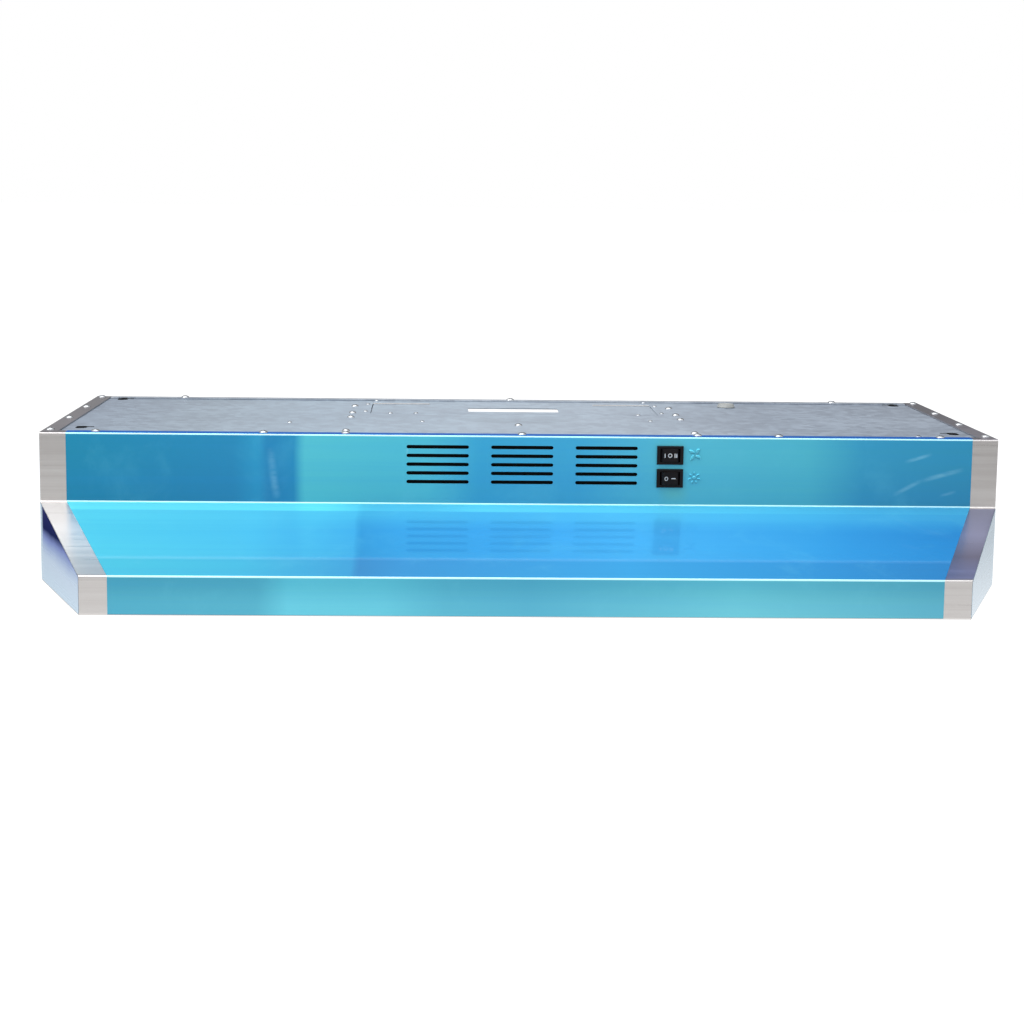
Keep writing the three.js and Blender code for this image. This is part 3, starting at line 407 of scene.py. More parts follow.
def film_material(name="blue_film", relief_shading=1.0, bend_highlight=0.65):
    """Glossy blue film on brushed steel. Its tint drifts along the hood in soft bands: the film's blue with
    painted reflections of the room.
    """
    material, tree, shader = new_material(name, Metallic=0.25, Anisotropic=0.5, **FILM_GLOSS)
    place = own_place(tree)
    x, y, z = axes(tree, place)
    lean = axes(tree, add_node(tree, "ShaderNodeNewGeometry").outputs["Normal"])[2]
    wavy = plus(tree, x, times(tree, noise(tree, place, 14.0, 2.0), 0.008))
    run = maths(tree, "DIVIDE", plus(tree, wavy, HALF - 0.004), 2 * HALF)
    tint = film_zones(tree, run, y, z, lean)
    lines = {"Vector": along_grain(tree), "Lines per metre": 520.0, "Line length": 0.2}
    grain = use_group(tree, BRUSHING, lines)
    tint = mix(tree, spread(tree, grain.outputs["Tone"], 0.3, 0.7, 0.0, 0.14), tint, (0.02, 0.25, 0.62))
    clouds = use_group(tree, SMUDGES, {"Vector": place, "Size": 0.045, "Cover": 0.5})
    tint = mix(tree, times(tree, clouds.outputs["Mask"], 0.09), tint, (0.16, 0.62, 0.75))
    marks = film_scuffs(tree, place)
    tint = mix(tree, marks, tint, (0.42, 0.80, 0.90))
    # A soft greenish patch on the film beside the switches.
    ends = {"From": (0.108, FILM_FACE_Y, 0.073), "To": (0.134, FILM_FACE_Y, 0.073)}
    green_patch = use_group(tree, SCUFF, {"Vector": place, "Width": 0.011, **ends}).outputs["Mask"]
    tint = mix(tree, times(tree, green_patch, 0.6), tint, (0.10, 0.42, 0.42))
    # Along each bend, a painted highlight: the film is lightened to pale cyan.
    on_bend = times(tree, spread(tree, lean, 0.1, 0.3), spread(tree, lean, 0.85, 0.95, 1.0, 0.0))
    tint = mix(tree, times(tree, on_bend, bend_highlight), tint, (0.62, 1.0, 1.0))
    # On top, the film strip under the screws is darkened to navy, a painted dark reflection, and its coat is
    # turned off.
    below_top = spread(tree, z, RIM_TOP - 0.0004, RIM_TOP, 1.0, 0.0)
    tint = mix(tree, below_top, (0.012, 0.10, 0.38), tint)
    # Painted shade and painted highlight on the embossed icons: faces that point down are darker, faces that point
    # up lighter.
    if relief_shading != 1.0:
        tint = tinted(tree, tint, grey_of(tree, spread(tree, lean, -0.6, 0.9, 0.25, relief_shading)))
    tree.links.new(tint, shader.inputs["Base Color"])
    tree.links.new(spread(tree, below_top, 0.0, 1.0), shader.inputs["Coat Weight"])
    rough = spread(tree, grain.outputs["Tone"], 0.2, 0.8, 0.27, 0.38)
    tree.links.new(plus(tree, rough, times(tree, marks, 0.2)), shader.inputs["Roughness"])
    ripple = noise(tree, scaled(tree, place, (14, 30, 30)), 1.0, 2.0, 0.4)
    bump(tree, shader, plus(tree, times(tree, grain.outputs["Height"], 0.05), ripple), 0.25, 0.0006)
    return material


def pale_film_material():
    """Clear film on the side panels. At the front on the left it carries a painted reflection, navy near the top
    and pale lower down, with less coat and metal where it is navy.
    """
    material, tree, shader = new_material("pale_film", Metallic=0.3, Anisotropic=0.4, **FILM_GLOSS)
    place = own_place(tree)
    x, y, z = axes(tree, place)
    grain = use_group(tree, BRUSHING, {"Vector": along_grain(tree), "Lines per metre": 600.0})
    tone = grain.outputs["Tone"]
    tint = mix(tree, spread(tree, tone, 0.3, 0.7), (0.38, 0.53, 0.65), (0.44, 0.59, 0.71))
    wave = times(tree, noise(tree, place, 30.0), 0.006)
    height = maths(tree, "DIVIDE", plus(tree, z, wave), 0.07)
    ahead = spread(tree, y, FACE_Y - 0.012, FACE_Y - 0.002, 1.0, 0.0)
    on_left = times(tree, spread(tree, x, -0.3, -0.2, 1.0, 0.0), ahead)
    tint = mix(tree, on_left, tint, ramp(tree, height, NAVY_REFLECTION_TINTS))
    tree.links.new(tint, shader.inputs["Base Color"])
    navy_reflection = times(tree, on_left, spread(tree, height, 0.3, 0.6))
    tree.links.new(minus(tree, 0.8, times(tree, navy_reflection, 0.8)), shader.inputs["Coat Weight"])
    tree.links.new(minus(tree, 0.3, times(tree, navy_reflection, 0.3)), shader.inputs["Metallic"])
    tree.links.new(spread(tree, tone, 0.2, 0.8, 0.2, 0.32), shader.inputs["Roughness"])
    bump(tree, shader, noise(tree, scaled(tree, place, (20, 16, 26)), 1.0, 2.0, 0.4), 0.2, 0.0005)
    return material


def round_duct_shade(tree, colour, place, y):
    """Painted shade: a faint dark crescent inside the round duct's circle, on the top plate in front of the
    knock-out, fading towards the back.
    """
    from_duct = vector_maths(tree, "DISTANCE", place, (0, FACE_Y + 0.1715, PLATE_TOP))
    inside = spread(tree, from_duct, 0.066, 0.071, 0.14, 0.0)
    duct_shade = times(tree, inside, spread(tree, y, FACE_Y + 0.105, FACE_Y + 0.165, 1.0, 0.0))
    return mix(tree, duct_shade, colour, (0.05, 0.06, 0.07))


def galvanised_material(name, dark, light, drift=None):
    """Zinc-coated sheet: faint crystals, rolling lines and handling marks.

    On the top plate a painted sheen runs along its length, lightest near the middle, and a painted shade lies
    inside the round duct's circle.
    """
    material, tree, shader = new_material(name, Metallic=0.85)
    place = own_place(tree)
    cells = add_node(tree, "ShaderNodeTexVoronoi", {"Vector": place, "Scale": 140.0}, feature="F1")
    shade = add_node(tree, "ShaderNodeSeparateColor", {0: cells.outputs["Color"]}).outputs[0]
    clouds = noise(tree, place, 7.0, 4.0, 0.55)
    value = plus(tree, times(tree, shade, 0.3), times(tree, clouds, 0.5))
    rolled = noise(tree, scaled(tree, place, (5, 420, 420)), 1.0, 3.0, 0.6)
    value = plus(tree, times(tree, plus(tree, value, 0.1), 0.7), times(tree, rolled, 0.3))
    marks = use_group(tree, SMUDGES, {"Vector": place, "Size": 0.08, "Cover": 0.42})
    colour = mix(tree, spread(tree, value, 0.3, 0.65), dark, light)
    colour = mix(tree, times(tree, marks.outputs["Mask"], 0.12), colour, shaded(dark, 0.8))
    colour = mix(tree, times(tree, marks.outputs["Specks"], 0.5), colour, grey(0.8))
    # Painted sheen along the top plate, and the painted shade of the round duct.
    if drift:
        x, y, _ = axes(tree, place)
        across = maths(tree, "DIVIDE", plus(tree, x, HALF), 2 * HALF)
        colour = tinted(tree, colour, ramp(tree, across, drift))
        colour = round_duct_shade(tree, colour, place, y)
    tree.links.new(colour, shader.inputs["Base Color"])
    tree.links.new(spread(tree, value, 0.3, 0.7, 0.36, 0.50), shader.inputs["Roughness"])
    bump(tree, shader, plus(tree, rolled, times(tree, clouds, 0.6)), 0.15, 0.0004)
    return material


def moulded_material(name, dark, light, roughness=0.4, strength=0.2, **sockets):
    """Plastic or rubber with its moulded grain, a little uneven in tone."""
    material, tree, shader = new_material(name, **sockets)
    texture = use_group(tree, MOULDING, {"Vector": own_place(tree)})
    marks = use_group(tree, SMUDGES, {"Vector": own_place(tree), "Size": 0.02, "Cover": 0.4})
    dusty = tuple(min(1, c * 1.5 + 0.02) for c in light)
    colour = mix(tree, texture.outputs["Tone"], dark, light)
    colour = mix(tree, times(tree, marks.outputs["Mask"], 0.15), colour, dusty)
    tree.links.new(colour, shader.inputs["Base Color"])
    rough = spread(tree, texture.outputs["Tone"], 0.3, 0.7, roughness - 0.05, roughness + 0.08)
    tree.links.new(rough, shader.inputs["Roughness"])
    bump(tree, shader, texture.outputs["Height"], strength, 0.0002)
    return material


def turned_material(name, dark, light, roughness=0.28, metallic=1.0):
    """Turned, stamped or plated metal, with a slight unevenness and no direction."""
    material, tree, shader = new_material(name, Metallic=metallic)
    place = own_place(tree)
    value = noise(tree, place, 160.0, 4.0, 0.6)
    marks = use_group(tree, SMUDGES, {"Vector": place, "Size": 0.01, "Cover": 0.35})
    colour = mix(tree, value, dark, light)
    colour = mix(tree, times(tree, marks.outputs["Mask"], 0.3), colour, shaded(dark, 0.6))
    tree.links.new(colour, shader.inputs["Base Color"])
    rough = spread(tree, value, 0.3, 0.7, roughness - 0.06, roughness + 0.1)
    tree.links.new(rough, shader.inputs["Roughness"])
    bump(tree, shader, value, 0.1, 0.0002)
    return material


def lens_material():
    """Frosted plastic with fine rings. The ring of diodes shows through it as faint warm spots."""
    material, tree, shader = new_material("frosted_lens", Coat_Weight=0.3, Coat_Roughness=0.2)
    x, y, _ = axes(tree, own_place(tree))
    out = minus(tree, maths(tree, "ABSOLUTE", x), abs(LENS_AT.x))
    back = minus(tree, y, LENS_AT.y)
    away = maths(tree, "SQRT", plus(tree, times(tree, out, out), times(tree, back, back)))
    nine = maths(tree, "COSINE", times(tree, maths(tree, "ARCTAN2", back, out), 9.0))
    off_ring = maths(tree, "ABSOLUTE", minus(tree, away, LAMP_RING))
    diodes = times(tree, spread(tree, nine, 0.2, 0.95), spread(tree, off_ring, 0.0005, 0.0035, 1.0, 0.0))
    cloudy = noise(tree, own_place(tree), 60.0, 3.0)
    tint = mix(tree, cloudy, (0.56, 0.58, 0.58), (0.66, 0.67, 0.67))
    tint = mix(tree, times(tree, diodes, 0.75), tint, (0.62, 0.46, 0.14))
    tree.links.new(tint, shader.inputs["Base Color"])
    tree.links.new(spread(tree, cloudy, 0.3, 0.7, 0.3, 0.42), shader.inputs["Roughness"])
    bump(tree, shader, maths(tree, "SINE", times(tree, away, 2 * math.pi / 0.0014)), 0.35, 0.0002)
    return material


FILM_GLOSS = {"Coat_Roughness": 0.05, "Coat_IOR": 1.4, "Specular_IOR_Level": 0.0}
# Painted reflection on the bare right end of the visor, going up: share of its height, then a colour.
RIGHT_END_REFLECTION_TINTS = [
    (0.10, (0.276, 0.308, 0.550)),
    (0.33, (0.234, 0.226, 0.342)),
    (0.66, (0.395, 0.415, 0.626)),
    (1.00, (0.325, 0.347, 0.510)),
]
# Tints of the film along the hood, its blue with painted reflections of the room in soft bands: share of the
# width, then a colour.
UPRIGHT_FILM_REFLECTIONS = [
    (0.00, (0.009, 0.222, 0.357)),
    (0.20, (0.018, 0.237, 0.424)),
    (0.225, (0.023, 0.297, 0.501)),
    (0.235, (0.015, 0.218, 0.424)),
    (0.262, (0.018, 0.257, 0.460)),
    (0.272, (0.094, 0.528, 0.593)),
    (0.40, (0.080, 0.506, 0.611)),
    (0.455, (0.040, 0.364, 0.581)),
    (0.56, (0.048, 0.370, 0.585)),
    (0.66, (0.094, 0.486, 0.585)),
    (0.80, (0.077, 0.455, 0.542)),
    (0.86, (0.036, 0.311, 0.479)),
    (1.00, (0.028, 0.247, 0.410)),
]
VISOR_FILM_REFLECTIONS = [
    (0.00, (0.083, 0.545, 0.666)),
    (0.22, (0.073, 0.465, 0.680)),
    (0.328, (0.048, 0.334, 0.624)),
    (0.334, (0.027, 0.234, 0.526)),
    (0.38, (0.037, 0.286, 0.618)),
    (0.60, (0.059, 0.373, 0.744)),
    (0.80, (0.033, 0.282, 0.635)),
    (1.00, (0.018, 0.177, 0.469)),
]
LIP_FILM_REFLECTIONS = [
    (0.00, (0.055, 0.341, 0.458)),
    (0.24, (0.068, 0.375, 0.495)),
    (0.27, (0.108, 0.515, 0.635)),
    (0.36, (0.104, 0.495, 0.615)),
    (0.42, (0.078, 0.400, 0.530)),
    (0.50, (0.072, 0.377, 0.516)),
    (0.70, (0.122, 0.500, 0.592)),
    (1.00, (0.063, 0.310, 0.428)),
]
# Painted reflection on the left front facet, going up: height over 70 mm, then a colour.
NAVY_REFLECTION_TINTS = [
    (0.00, (0.33, 0.50, 0.64)),
    (0.35, (0.37, 0.50, 0.66)),
    (0.58, (0.15, 0.19, 0.38)),
    (0.68, (0.010, 0.015, 0.065)),
    (1.00, (0.025, 0.028, 0.11)),
]
FILM_SCUFFS = [
    ((305, 99), (328, 106), 2.2, 0.22),
    ((296, 72), (322, 86), 2.6, 0.18),
    ((318, 84), (354, 94), 2.8, 0.22),
    ((334, 72), (348, 76), 2.0, 0.12),
    ((-199, 108), (-197, 84), 4.5, 0.12),
    ((-198, 94), (-194, 66), 4.5, 0.16),
    ((-92, 100), (-90, 112), 1.4, 0.15),
]
FILM_FACE_Y = FACE_Y - 0.3 * MM

STEEL = brushed_metal("brushed_steel", (0.59, 0.565, 0.55), (0.66, 0.64, 0.625), outside=True)
PAN_STEEL = brushed_metal("pan_steel", (0.40, 0.40, 0.41), (0.58, 0.58, 0.59), 0.34)
BLUE_FILM = film_material()
PALE_FILM = pale_film_material()
ZINC_SHEET = galvanised_material("galvanised_sheet", (0.36, 0.40, 0.46), (0.52, 0.56, 0.61))
# Painted sheen along the top plate: share of the width, then a colour that the zinc is multiplied by.
PLATE_SHEEN_TINTS = [
    (0.00, (0.62, 0.66, 0.72)),
    (0.15, (0.74, 0.80, 0.83)),
    (0.28, (0.84, 0.92, 0.96)),
    (0.52, (0.92, 0.97, 1.00)),
    (0.62, (0.93, 0.97, 1.00)),
    (0.79, (0.80, 0.84, 0.89)),
    (1.00, (0.80, 0.82, 0.86)),
]
# The top plate's zinc: a lighter copy of the galvanised sheet, painted light for a face that looks up, with the
# sheen above.
LIT_TOP_SHEET = galvanised_material("galvanised_top_lit", (0.49, 0.55, 0.64), (0.61, 0.68, 0.76), drift=PLATE_SHEEN_TINTS)
ALUMINIUM = brushed_metal("aluminium_frame", (0.55, 0.56, 0.57), (0.75, 0.76, 0.77), 0.36, 400.0)
STRAND = turned_material("aluminium_strand", (0.55, 0.56, 0.58), (0.8, 0.81, 0.82), 0.33)
BLACK = moulded_material(
    "black_plastic", (0.004, 0.0028, 0.003), (0.007, 0.005, 0.006), 0.34, Specular_IOR_Level=0.16
)
# The plate behind the louvres: black paint, made nearly lightless so that it also stands in for the shade inside
# the hood.
BLACK_INSIDE_SHADE = moulded_material("black_inside_shade", grey(0.0015), grey(0.003), 0.7, Specular_IOR_Level=0.1)
# Painted shade for the keyholes' cut faces.
KEYHOLE_SHADE = turned_material("keyhole_shade", grey(0.01), grey(0.02), 0.6, 0.5)
# Painted highlight for the front-facing edges of the rear slits.
SLIT_HIGHLIGHT = turned_material("slit_highlight", grey(0.85), grey(0.95), 0.4, 0.0)
# The icons' film: painted shade and highlight on their relief, and no bend highlight.
EMBOSSED = film_material("embossed_film", 2.2, 0.0)
WHITE = moulded_material("white_plastic", (0.72, 0.72, 0.70), (0.82, 0.82, 0.80), 0.4)
GREY = moulded_material("grey_plastic", (0.26, 0.27, 0.28), (0.36, 0.37, 0.38), 0.5)
RUBBER = moulded_material("rubber", (0.012, 0.012, 0.012), (0.025, 0.025, 0.025), 0.65, 0.4)
IRON = turned_material("motor_iron", (0.16, 0.08, 0.04), (0.34, 0.17, 0.09), 0.5, 0.7)
ZINC = turned_material("zinc_plate", (0.40, 0.42, 0.44), (0.62, 0.64, 0.66), 0.2)
# Off-white nylon, painted grey: the bushing's colour carries painted shade.
NYLON_IN_SHADE = moulded_material("nylon_in_shade", (0.26, 0.27, 0.26), (0.36, 0.37, 0.36), 0.35)
BRONZE = turned_material("sintered_bronze", (0.35, 0.2, 0.08), (0.5, 0.32, 0.14), 0.45)
LENS = lens_material()
MARK = moulded_material("white_mark", grey(0.45), grey(0.6), 0.5)

FINISH = {
    "brushed_steel": STEEL,
    "blue_film": BLUE_FILM,
    "clear_blue_film": PALE_FILM,
    "galvanised_steel": ZINC_SHEET,
    "aluminium": ALUMINIUM,
    "black_plastic": BLACK,
    "white_plastic": WHITE,
    "grey_plastic": GREY,
    "rubber": RUBBER,
    "motor_iron": IRON,
    "zinc_steel": ZINC,
    "frosted_lens": LENS,
    "bronze": BRONZE,
}
SLOT_OF = {part["node"]: part["material_slot"] for part in frame["record"]["subparts"]}
BODY_OF = {node: body for body, nodes in frame["record"]["behaviour"]["bodies"].items() for node in nodes}


# ---- Pieces ----
HANDS = ("left", "right")
SMOOTH = math.radians(40)  # edges sharper than this stay sharp
KEYHOLES_OUT = (0.33, 0.37)  # how far the keyholes lie from the centre line
SLITS_OUT, SLITS_BACK = (0.06, 0.14), 0.262  # and the slits, which lie this far behind the upright face


def lay_grain(mesh):
    """A UV map in metres. Its first axis runs along the brushing: X, or Y on faces turned to the sides."""
    layer = mesh.uv_layers.get(GRAIN) or mesh.uv_layers.new(name=GRAIN)
    for face in mesh.polygons:
        normal = face.normal
        for loop in face.loop_indices:
            x, y, z = mesh.vertices[mesh.loops[loop].vertex_index].co
            if abs(normal.x) > 0.7:
                uv = (y, z)
            elif abs(normal.z) > 0.5:
                uv = (x, y)
            else:
                uv = (x, z)
            layer.data[loop].uv = uv


def as_plain_mesh(obj):
    """The object with its modifiers made real."""
    graph = bpy.context.evaluated_depsgraph_get()
    evaluated = obj.evaluated_get(graph)
    mesh = bpy.data.meshes.new_from_object(evaluated, preserve_all_data_layers=True, depsgraph=graph)
    obj.modifiers.clear()
    obj.data = mesh


def new_object(name, mesh):
    obj = bpy.data.objects.new(name, mesh)
    bpy.context.scene.collection.objects.link(obj)
    return obj


def settle(obj, body, slot, *nodes):
    """Gives a finished piece its body, and hides the CAD nodes that it stands for. The slot is not used."""
    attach(obj, body)
    if nodes:
        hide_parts(*nodes)


def finish_cut_edges(mesh):
    """The keyholes' cut faces are painted nearly black, painted shade that makes them read as holes. The rear
    slits' edges that face the front carry a painted highlight.
    """
    mesh.materials.append(KEYHOLE_SHADE)
    mesh.materials.append(SLIT_HIGHLIGHT)
    for face in mesh.polygons:
        x, y, _ = face.center
        if abs(face.normal.z) < 0.5:
            if KEYHOLES_OUT[0] < abs(x) < KEYHOLES_OUT[1]:
                face.material_index = 1
            elif face.normal.y < -0.5 and y > FACE_Y + SLITS_BACK and SLITS_OUT[0] < abs(x) < SLITS_OUT[1]:
                face.material_index = 2


def smooth_copy(node, material, bevel=0.0):
    """A copy of a CAD node with its curves shaded smooth, its edges eased and a grain map laid on it."""
    mesh = frame["nodes"][node].data.copy()
    shape = bmesh.new()
    shape.from_mesh(mesh)
    bmesh.ops.remove_doubles(shape, verts=shape.verts, dist=2e-6)
    bmesh.ops.dissolve_limit(shape, angle_limit=math.radians(0.6), verts=shape.verts, edges=shape.edges)
    shape.to_mesh(mesh)
    shape.free()
    for attribute in [a.name for a in mesh.attributes if a.name.startswith("custom_normal")]:
        mesh.attributes.remove(mesh.attributes[attribute])
    mesh.polygons.foreach_set("use_smooth", [True] * len(mesh.polygons))
    mesh.set_sharp_from_angle(angle=SMOOTH)
    mesh.materials.clear()
    mesh.materials.append(material)
    if node in ("top_panel", "duct_knockout"):
        finish_cut_edges(mesh)
    obj = new_object(node + "_piece", mesh)
    if bevel:
        eased = obj.modifiers.new("eased", "BEVEL")
        eased.width = bevel * MM
        eased.segments = 2
        eased.limit_method = "ANGLE"
        eased.angle_limit = SMOOTH
        eased.harden_normals = False
    weighted = obj.modifiers.new("weighted", "WEIGHTED_NORMAL")
    weighted.keep_sharp = True
    weighted.weight = 100
    as_plain_mesh(obj)
    lay_grain(obj.data)
    return obj


def latch_spring(hand):
    """The wave spring behind a latch. Its back stays on the filter, and its front goes with the latch."""
    node = hand + "_latch_spring"
    low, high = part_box(node)
    middle = (low + high) / 2
    slack = 0.1 * (high.y - low.y)
    spring = smooth_copy(node, ZINC)
    back, front = (middle.x, high.y + slack, middle.z), (middle.x, low.y - slack, middle.z)
    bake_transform(spring, hand + "_filter", hand + "_latch", start=back, end=front)
    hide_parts(node)


REFINED = {
    "front_panel": (STEEL, 0),
    "front_film": (BLUE_FILM, 0),
    "left_side_panel": (STEEL, 0),
    "right_side_panel": (STEEL, 0),
    "left_side_film": (PALE_FILM, 0),
    "right_side_film": (PALE_FILM, 0),
    "back_panel": (ZINC_SHEET, 0),
    "top_panel": (LIT_TOP_SHEET, 0),
    "duct_knockout": (LIT_TOP_SHEET, 0),
    "bottom_pan": (PAN_STEEL, 0.2),
    "front_filter_rail": (PAN_STEEL, 0),
    "rear_filter_rail": (PAN_STEEL, 0),
    "fan_switch_body": (BLACK, 0.35),
    "light_switch_body": (BLACK, 0.35),
    "fan_switch_rocker": (BLACK, 0.3),
    "light_switch_rocker": (BLACK, 0.3),
    "louvre_baffle": (BLACK_INSIDE_SHADE, 0),
    "impeller": (BLACK, 0),
    "inlet_ring": (BLACK, 0.2),
    "motor_shell": (ZINC_SHEET, 0.4),
    "motor_cap": (ZINC_SHEET, 0.3),
    "cable_bushing": (NYLON_IN_SHADE, 0.3),
    "capacitor": (WHITE, 0.5),
    "hub_nut": (ZINC, 0.3),
    "motor_shaft": (ZINC, 0.4),
}
for hand in HANDS:
    REFINED[hand + "_filter_frame"] = (ALUMINIUM, 0.35)
    REFINED[hand + "_filter_latch"] = (BLACK, 0.5)
    REFINED[hand + "_lamp_housing"] = (WHITE, 0.4)
    REFINED[hand + "_lamp_lens"] = (LENS, 0.3)

for node, (material, bevel) in REFINED.items():
    settle(smooth_copy(node, material, bevel), BODY_OF[node], SLOT_OF[node], node)
SPRINGS = [hand + "_latch_spring" for hand in HANDS]
for hand in HANDS:
    latch_spring(hand)
for node, slot in SLOT_OF.items():
    if node not in REFINED and node not in SPRINGS:
        obj = frame["nodes"][node]
        material = ZINC if FINISH[slot] is ALUMINIUM else FINISH[slot]
        obj.data.materials.clear()
        obj.data.materials.append(material)


# ---- What repeats, made with geometry nodes ----
GEOMETRY = "NodeSocketGeometry"


def geometry_tree(name, inputs):
    """A tree that takes points in as Places, and puts its shapes out as Pieces."""
    return new_group(name, [("Places", GEOMETRY, None), *inputs], [("Pieces", GEOMETRY)], "GeometryNodeTree")


def transformed(tree, geometry, **inputs):
    return add_node(tree, "GeometryNodeTransform", {"Geometry": geometry, **inputs}).outputs[0]


def copies(tree, points, shape, **inputs):
    """A copy of the shape on each point."""
    inputs = {"Points": points, "Instance": shape, **inputs}
    return add_node(tree, "GeometryNodeInstanceOnPoints", inputs).outputs[0]


def point_line(tree, count, **step):
    """Points in a row, one step apart."""
    inputs = {"Count": count, "Offset": vector_of(tree, **step)}
    return add_node(tree, "GeometryNodeMeshLine", inputs).outputs[0]


def shifted(tree, geometry, **offset):
    inputs = {"Geometry": geometry, "Offset": vector_of(tree, **offset)}
    return add_node(tree, "GeometryNodeSetPosition", inputs).outputs[0]


def odd_one(tree):
    """1 for every second point and 0 for the others."""
    return maths(tree, "MODULO", add_node(tree, "GeometryNodeInputIndex").outputs[0], 2.0)


def close_tree(tree, geometry, material, end):
    """Every tree ends the same way: its instances made real, then the material set."""
    real = add_node(tree, "GeometryNodeRealizeInstances", {0: geometry}).outputs[0]
    finished = add_node(tree, "GeometryNodeSetMaterial", {"Geometry": real, "Material": material}).outputs[0]
    tree.links.new(finished, end.inputs["Pieces"])


def grown(name, mesh, tree, values, body, slot, *nodes):
    """Runs a tree on a mesh and keeps the result as a plain mesh on that body."""
    obj = new_object(name, mesh)
    modifier = obj.modifiers.new("grown", "NODES")
    modifier.node_group = tree
    for item in tree.interface.items_tree:
        if item.item_type == "SOCKET" and item.in_out == "INPUT" and item.name in values:
            modifier[item.identifier] = values[item.name]
    as_plain_mesh(obj)
    settle(obj, body, slot, *nodes)


def points_mesh(name, places):
    mesh = bpy.data.meshes.new(name)
    mesh.from_pydata([tuple(p) for p in places], [], [])
    return mesh


def screw_tree():
    """Pan-head screws that stand on points, each with a cross recess and turned to its own angle."""
    tree, start, end = geometry_tree(
        "pan_head_screws",
        [
            ("Head radius", FLOAT, 0.004),
            ("Head height", FLOAT, 0.002),
            ("Recess", FLOAT, 0.0008),
            ("Seed", "NodeSocketInt", 3),
            ("Face down", "NodeSocketBool", False),
            ("Material", "NodeSocketMaterial", None),
        ],
    )
    radius, height = start.outputs["Head radius"], start.outputs["Head height"]
    globe = {"Segments": 20, "Rings": 12, "Radius": radius}
    ball = add_node(tree, "GeometryNodeMeshUVSphere", globe).outputs[0]
    dome = transformed(tree, ball, Scale=vector_of(tree, 1.0, 1.0, maths(tree, "DIVIDE", height, radius)))
    size = vector_of(tree, times(tree, radius, 1.25), start.outputs["Recess"], height)
    groove = add_node(tree, "GeometryNodeMeshCube", {"Size": size}).outputs[0]
    groove = transformed(tree, groove, Translation=vector_of(tree, z=height))
    crossed = transformed(tree, groove, Rotation=(0, 0, math.pi / 2))
    cutter = add_node(tree, "GeometryNodeMeshBoolean", {"Mesh 2": groove}, operation="UNION", solver="EXACT")
    tree.links.new(crossed, cutter.inputs["Mesh 2"])
    head = add_node(tree, "GeometryNodeMeshBoolean", {"Mesh 1": dome}, operation="DIFFERENCE", solver="EXACT")
    tree.links.new(cutter.outputs["Mesh"], head.inputs["Mesh 2"])
    angles = {"Min": (0, 0, 0), "Max": (0, 0, 3.14), "Seed": start.outputs["Seed"]}
    angle = add_node(tree, "FunctionNodeRandomValue", angles, data_type="FLOAT_VECTOR").outputs["Value"]
    tip = times(tree, start.outputs["Face down"], math.pi)
    turned_over = vector_maths(tree, "ADD", angle, vector_of(tree, tip))
    spots = add_node(tree, "GeometryNodeMeshToPoints", {"Mesh": start.outputs["Places"]}).outputs[0]
    placed = copies(tree, spots, head.outputs["Mesh"], Rotation=turned_over)
    close_tree(tree, placed, start.outputs["Material"], end)
    return tree


SCREWS = screw_tree()


def screws(name, places, radius=3.6, height=1.9, down=False, seed=3):
    """Screw heads at the places. radius and height are in millimetres."""
    values = {
        "Head radius": radius * MM,
        "Head height": height * MM,
        "Recess": radius * 0.2 * MM,
        "Seed": seed,
        "Face down": down,
        "Material": ZINC,
    }
    grown(name, points_mesh(name, places), SCREWS, values, "canopy", "zinc_steel")


def from_front(x, y, z):
    """A place: x and y are in millimetres from the centre line and the upright face, and z is in metres."""
    return (x * MM, FACE_Y + y * MM, z)


rim_screws = [from_front(side * 374.6, y, RIM_TOP - 0.0001) for side in (-1, 1) for y in (20, 110, 200, 290)]
rim_screws += [from_front(x, 7.5, RIM_TOP + 0.0002) for x in (-337, -205, -140, 0, 140, 205, 335)]
screws("rim_screws", rim_screws)
top_screws = [from_front(side * 141, y, PLATE_TOP) for side in (-1, 1) for y in (36, 140, 177, 235)]
top_screws += [from_front(x, y, PLATE_TOP) for x, y in ((320, 20), (0, 86))]
screws("top_screws", top_screws, radius=3.2, height=1.8, seed=8)
screws("back_rim_screws", [from_front(x, 293, RIM_TOP) for x in (-299, 0, 299)], seed=9)
rivets = [
    (-130, 253), (130, 253), (-130, 191), (130, 191), (-108, 176), (108, 176), (-86, 178), (-80, 110),
    (114, 127), (-123, 288), (123, 288), (-190, 95),
]
screws("top_rivets", [from_front(x, y, PLATE_TOP) for x, y in rivets], radius=2.0, height=1.0, seed=5)

PAN_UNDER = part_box("left_lamp_housing")[0].z + 1.6 * MM
under = [from_front(x, -130, PAN_UNDER) for x in (-300, -100, 100, 300)]
under += [from_front(side * 350, y, PAN_UNDER) for side in (-1, 1) for y in (20, 150, 270)]
screws("pan_screws", under, radius=3.4, height=1.8, down=True, seed=11)


